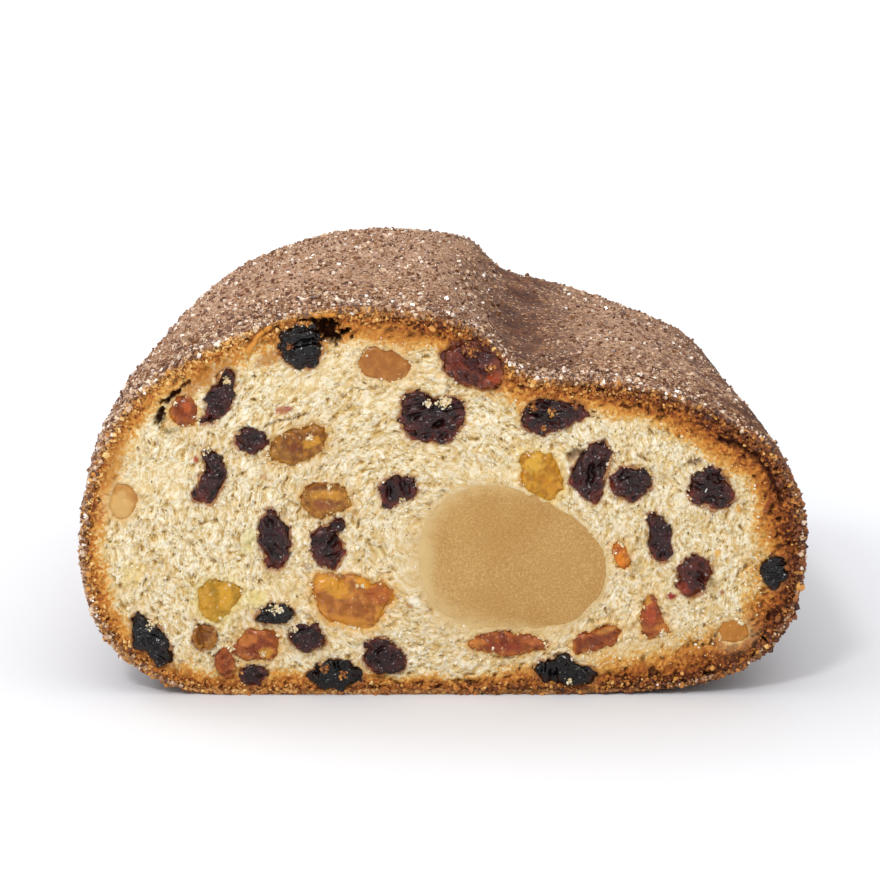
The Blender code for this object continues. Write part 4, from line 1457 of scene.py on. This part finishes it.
# %% Crumbs of crumb
pale_crumb_material = grain_material(
    "pale crumbs", [(0.0, "#CDAE72"), (0.5, "#EEDDB4"), (1.0, "#FFF9EA")], Roughness=0.75)


def face_crumbs(points, directions):
    inside, _ = from_outline(points)
    return (ease(inside, 4 * MM, 8 * MM) * ease(from_rope(points), 0.3 * MM, 2 * MM)
            * (points[:, 1] < CUT_Y + 0.8 * MM)) + 1e-9


PALE_CRUMBS = 3400
spots, facing = random_places(crumb_mesh, PALE_CRUMBS, face_crumbs)
sizes = MM * np.clip(chance.lognormal(-1.2, 0.35, len(spots)), 0.15, 0.7)
scatter("pale_crumbs", "lump", spots, facing, sizes, 0.05, pale_crumb_material, 0.3)

# %% [markdown]
# ## Crumbs on the fruit
# The knife drags crumbs over the wet fruit, where they stick in little heaps, mostly at the
# upper edge, and in small clumps along the outlines of the pale fruit. Each heap or clump is
# a cloud of grains around a place on the cut, dropped on to whatever fruit lies there.

# %% Heaps of crumbs on the fruit
# (across, up, spread, grains), in millimetres
PALE_HEAPS = [
    (0.3, 56.4, 1.3, 130), (-2.6, 56.0, 0.7, 40), (-7.3, 37.8, 0.6, 30), (-54.3, 14.4, 1.2, 90),
    (-31.0, 17.0, 1.3, 80), (-6.0, 17.4, 0.7, 40), (40.6, 10.4, 1.0, 60), (-9.6, 14.6, 0.5, 18),
    (-39.4, 60.2, 0.8, 40), (-43.6, 47.2, 0.9, 45), (46.2, 42.6, 0.6, 25), (31.4, 44.6, 0.8, 40),
    (-28.0, 13.0, 1.2, 50), (-24.4, 49.6, 0.8, 35), (41.5, 12.0, 0.9, 35), (-15.0, 21.2, 0.6, 15),
    (-33.6, 8.2, 0.6, 22), (24.0, 3.0, 0.8, 24),
]
GOLDEN_HEAPS = [
    (-22.0, 5.0, 1.0, 55), (-18.4, 4.2, 0.8, 40), (16.7, 55.0, 0.9, 55), (20.0, 54.4, 0.8, 45),
    (24.6, 55.6, 0.7, 35), (-30.4, 65.4, 1.0, 60), (-27.9, 66.7, 0.7, 30), (5.0, 65.9, 1.6, 70),
    (-38.2, 5.2, 0.9, 45), (8.6, 62.4, 0.8, 20), (18.6, 51.4, 0.7, 22), (-55.8, 8.0, 0.8, 25),
]


def heap_spots(heaps):
    """(across, up) of every grain of the heaps, in metres."""
    return np.concatenate([
        (np.array([x, z]) + chance.normal(0, wide / 2.2, (grains, 2))) * MM
        for x, z, wide, grains in heaps])


def edge_spots(kinds, clumps, grains):
    """(across, up) of small clumps of grains on the outlines of some kinds of fruit."""
    rings = np.concatenate([outlines[n] for n in FRUIT_NAMES if kind_of(n) in kinds])
    middles = rings[chance.choice(len(rings), clumps)][:, [0, 2]]
    spots = np.repeat(middles, grains, axis=0)
    return spots + chance.normal(0, 0.38 * MM, spots.shape)


def dropped_on_fruit(spots):
    """Places and normals where grains meet the front of the fruit."""
    places, facing = [], []
    for across, up in spots:
        hit, normal = fruits.ray_cast(Vector((across, CUT_Y - 5 * MM, up)), Vector((0, 1, 0)))[:2]
        if hit and hit.y < CUT_Y + 0.9 * MM:
            places.append(hit)
            facing.append(normal)
    return np.array(places), np.array(facing)


PALE_KINDS = ("sultana", "apricot", "citron", "lemon_peel", "orange_peel", "almond")
EDGE_CLUMPS, GRAINS_IN_CLUMP = 55, 14
grain_spots = {
    "pale_heaps": np.concatenate([
        heap_spots(PALE_HEAPS), edge_spots(PALE_KINDS, EDGE_CLUMPS, GRAINS_IN_CLUMP)]),
    "golden_heaps": heap_spots(GOLDEN_HEAPS),
}
for name, material in (("pale_heaps", pale_crumb_material),
                       ("golden_heaps", crust_crumb_material)):
    spots, facing = dropped_on_fruit(grain_spots[name])
    sizes = MM * np.clip(chance.lognormal(-1.1, 0.4, len(spots)), 0.15, 0.8)
    tones = np.clip(chance.normal(0.4, 0.24, len(spots)), 0, 1)
    scatter(name, "lump", spots, facing, sizes, 0.05, material, 0.5, tones)
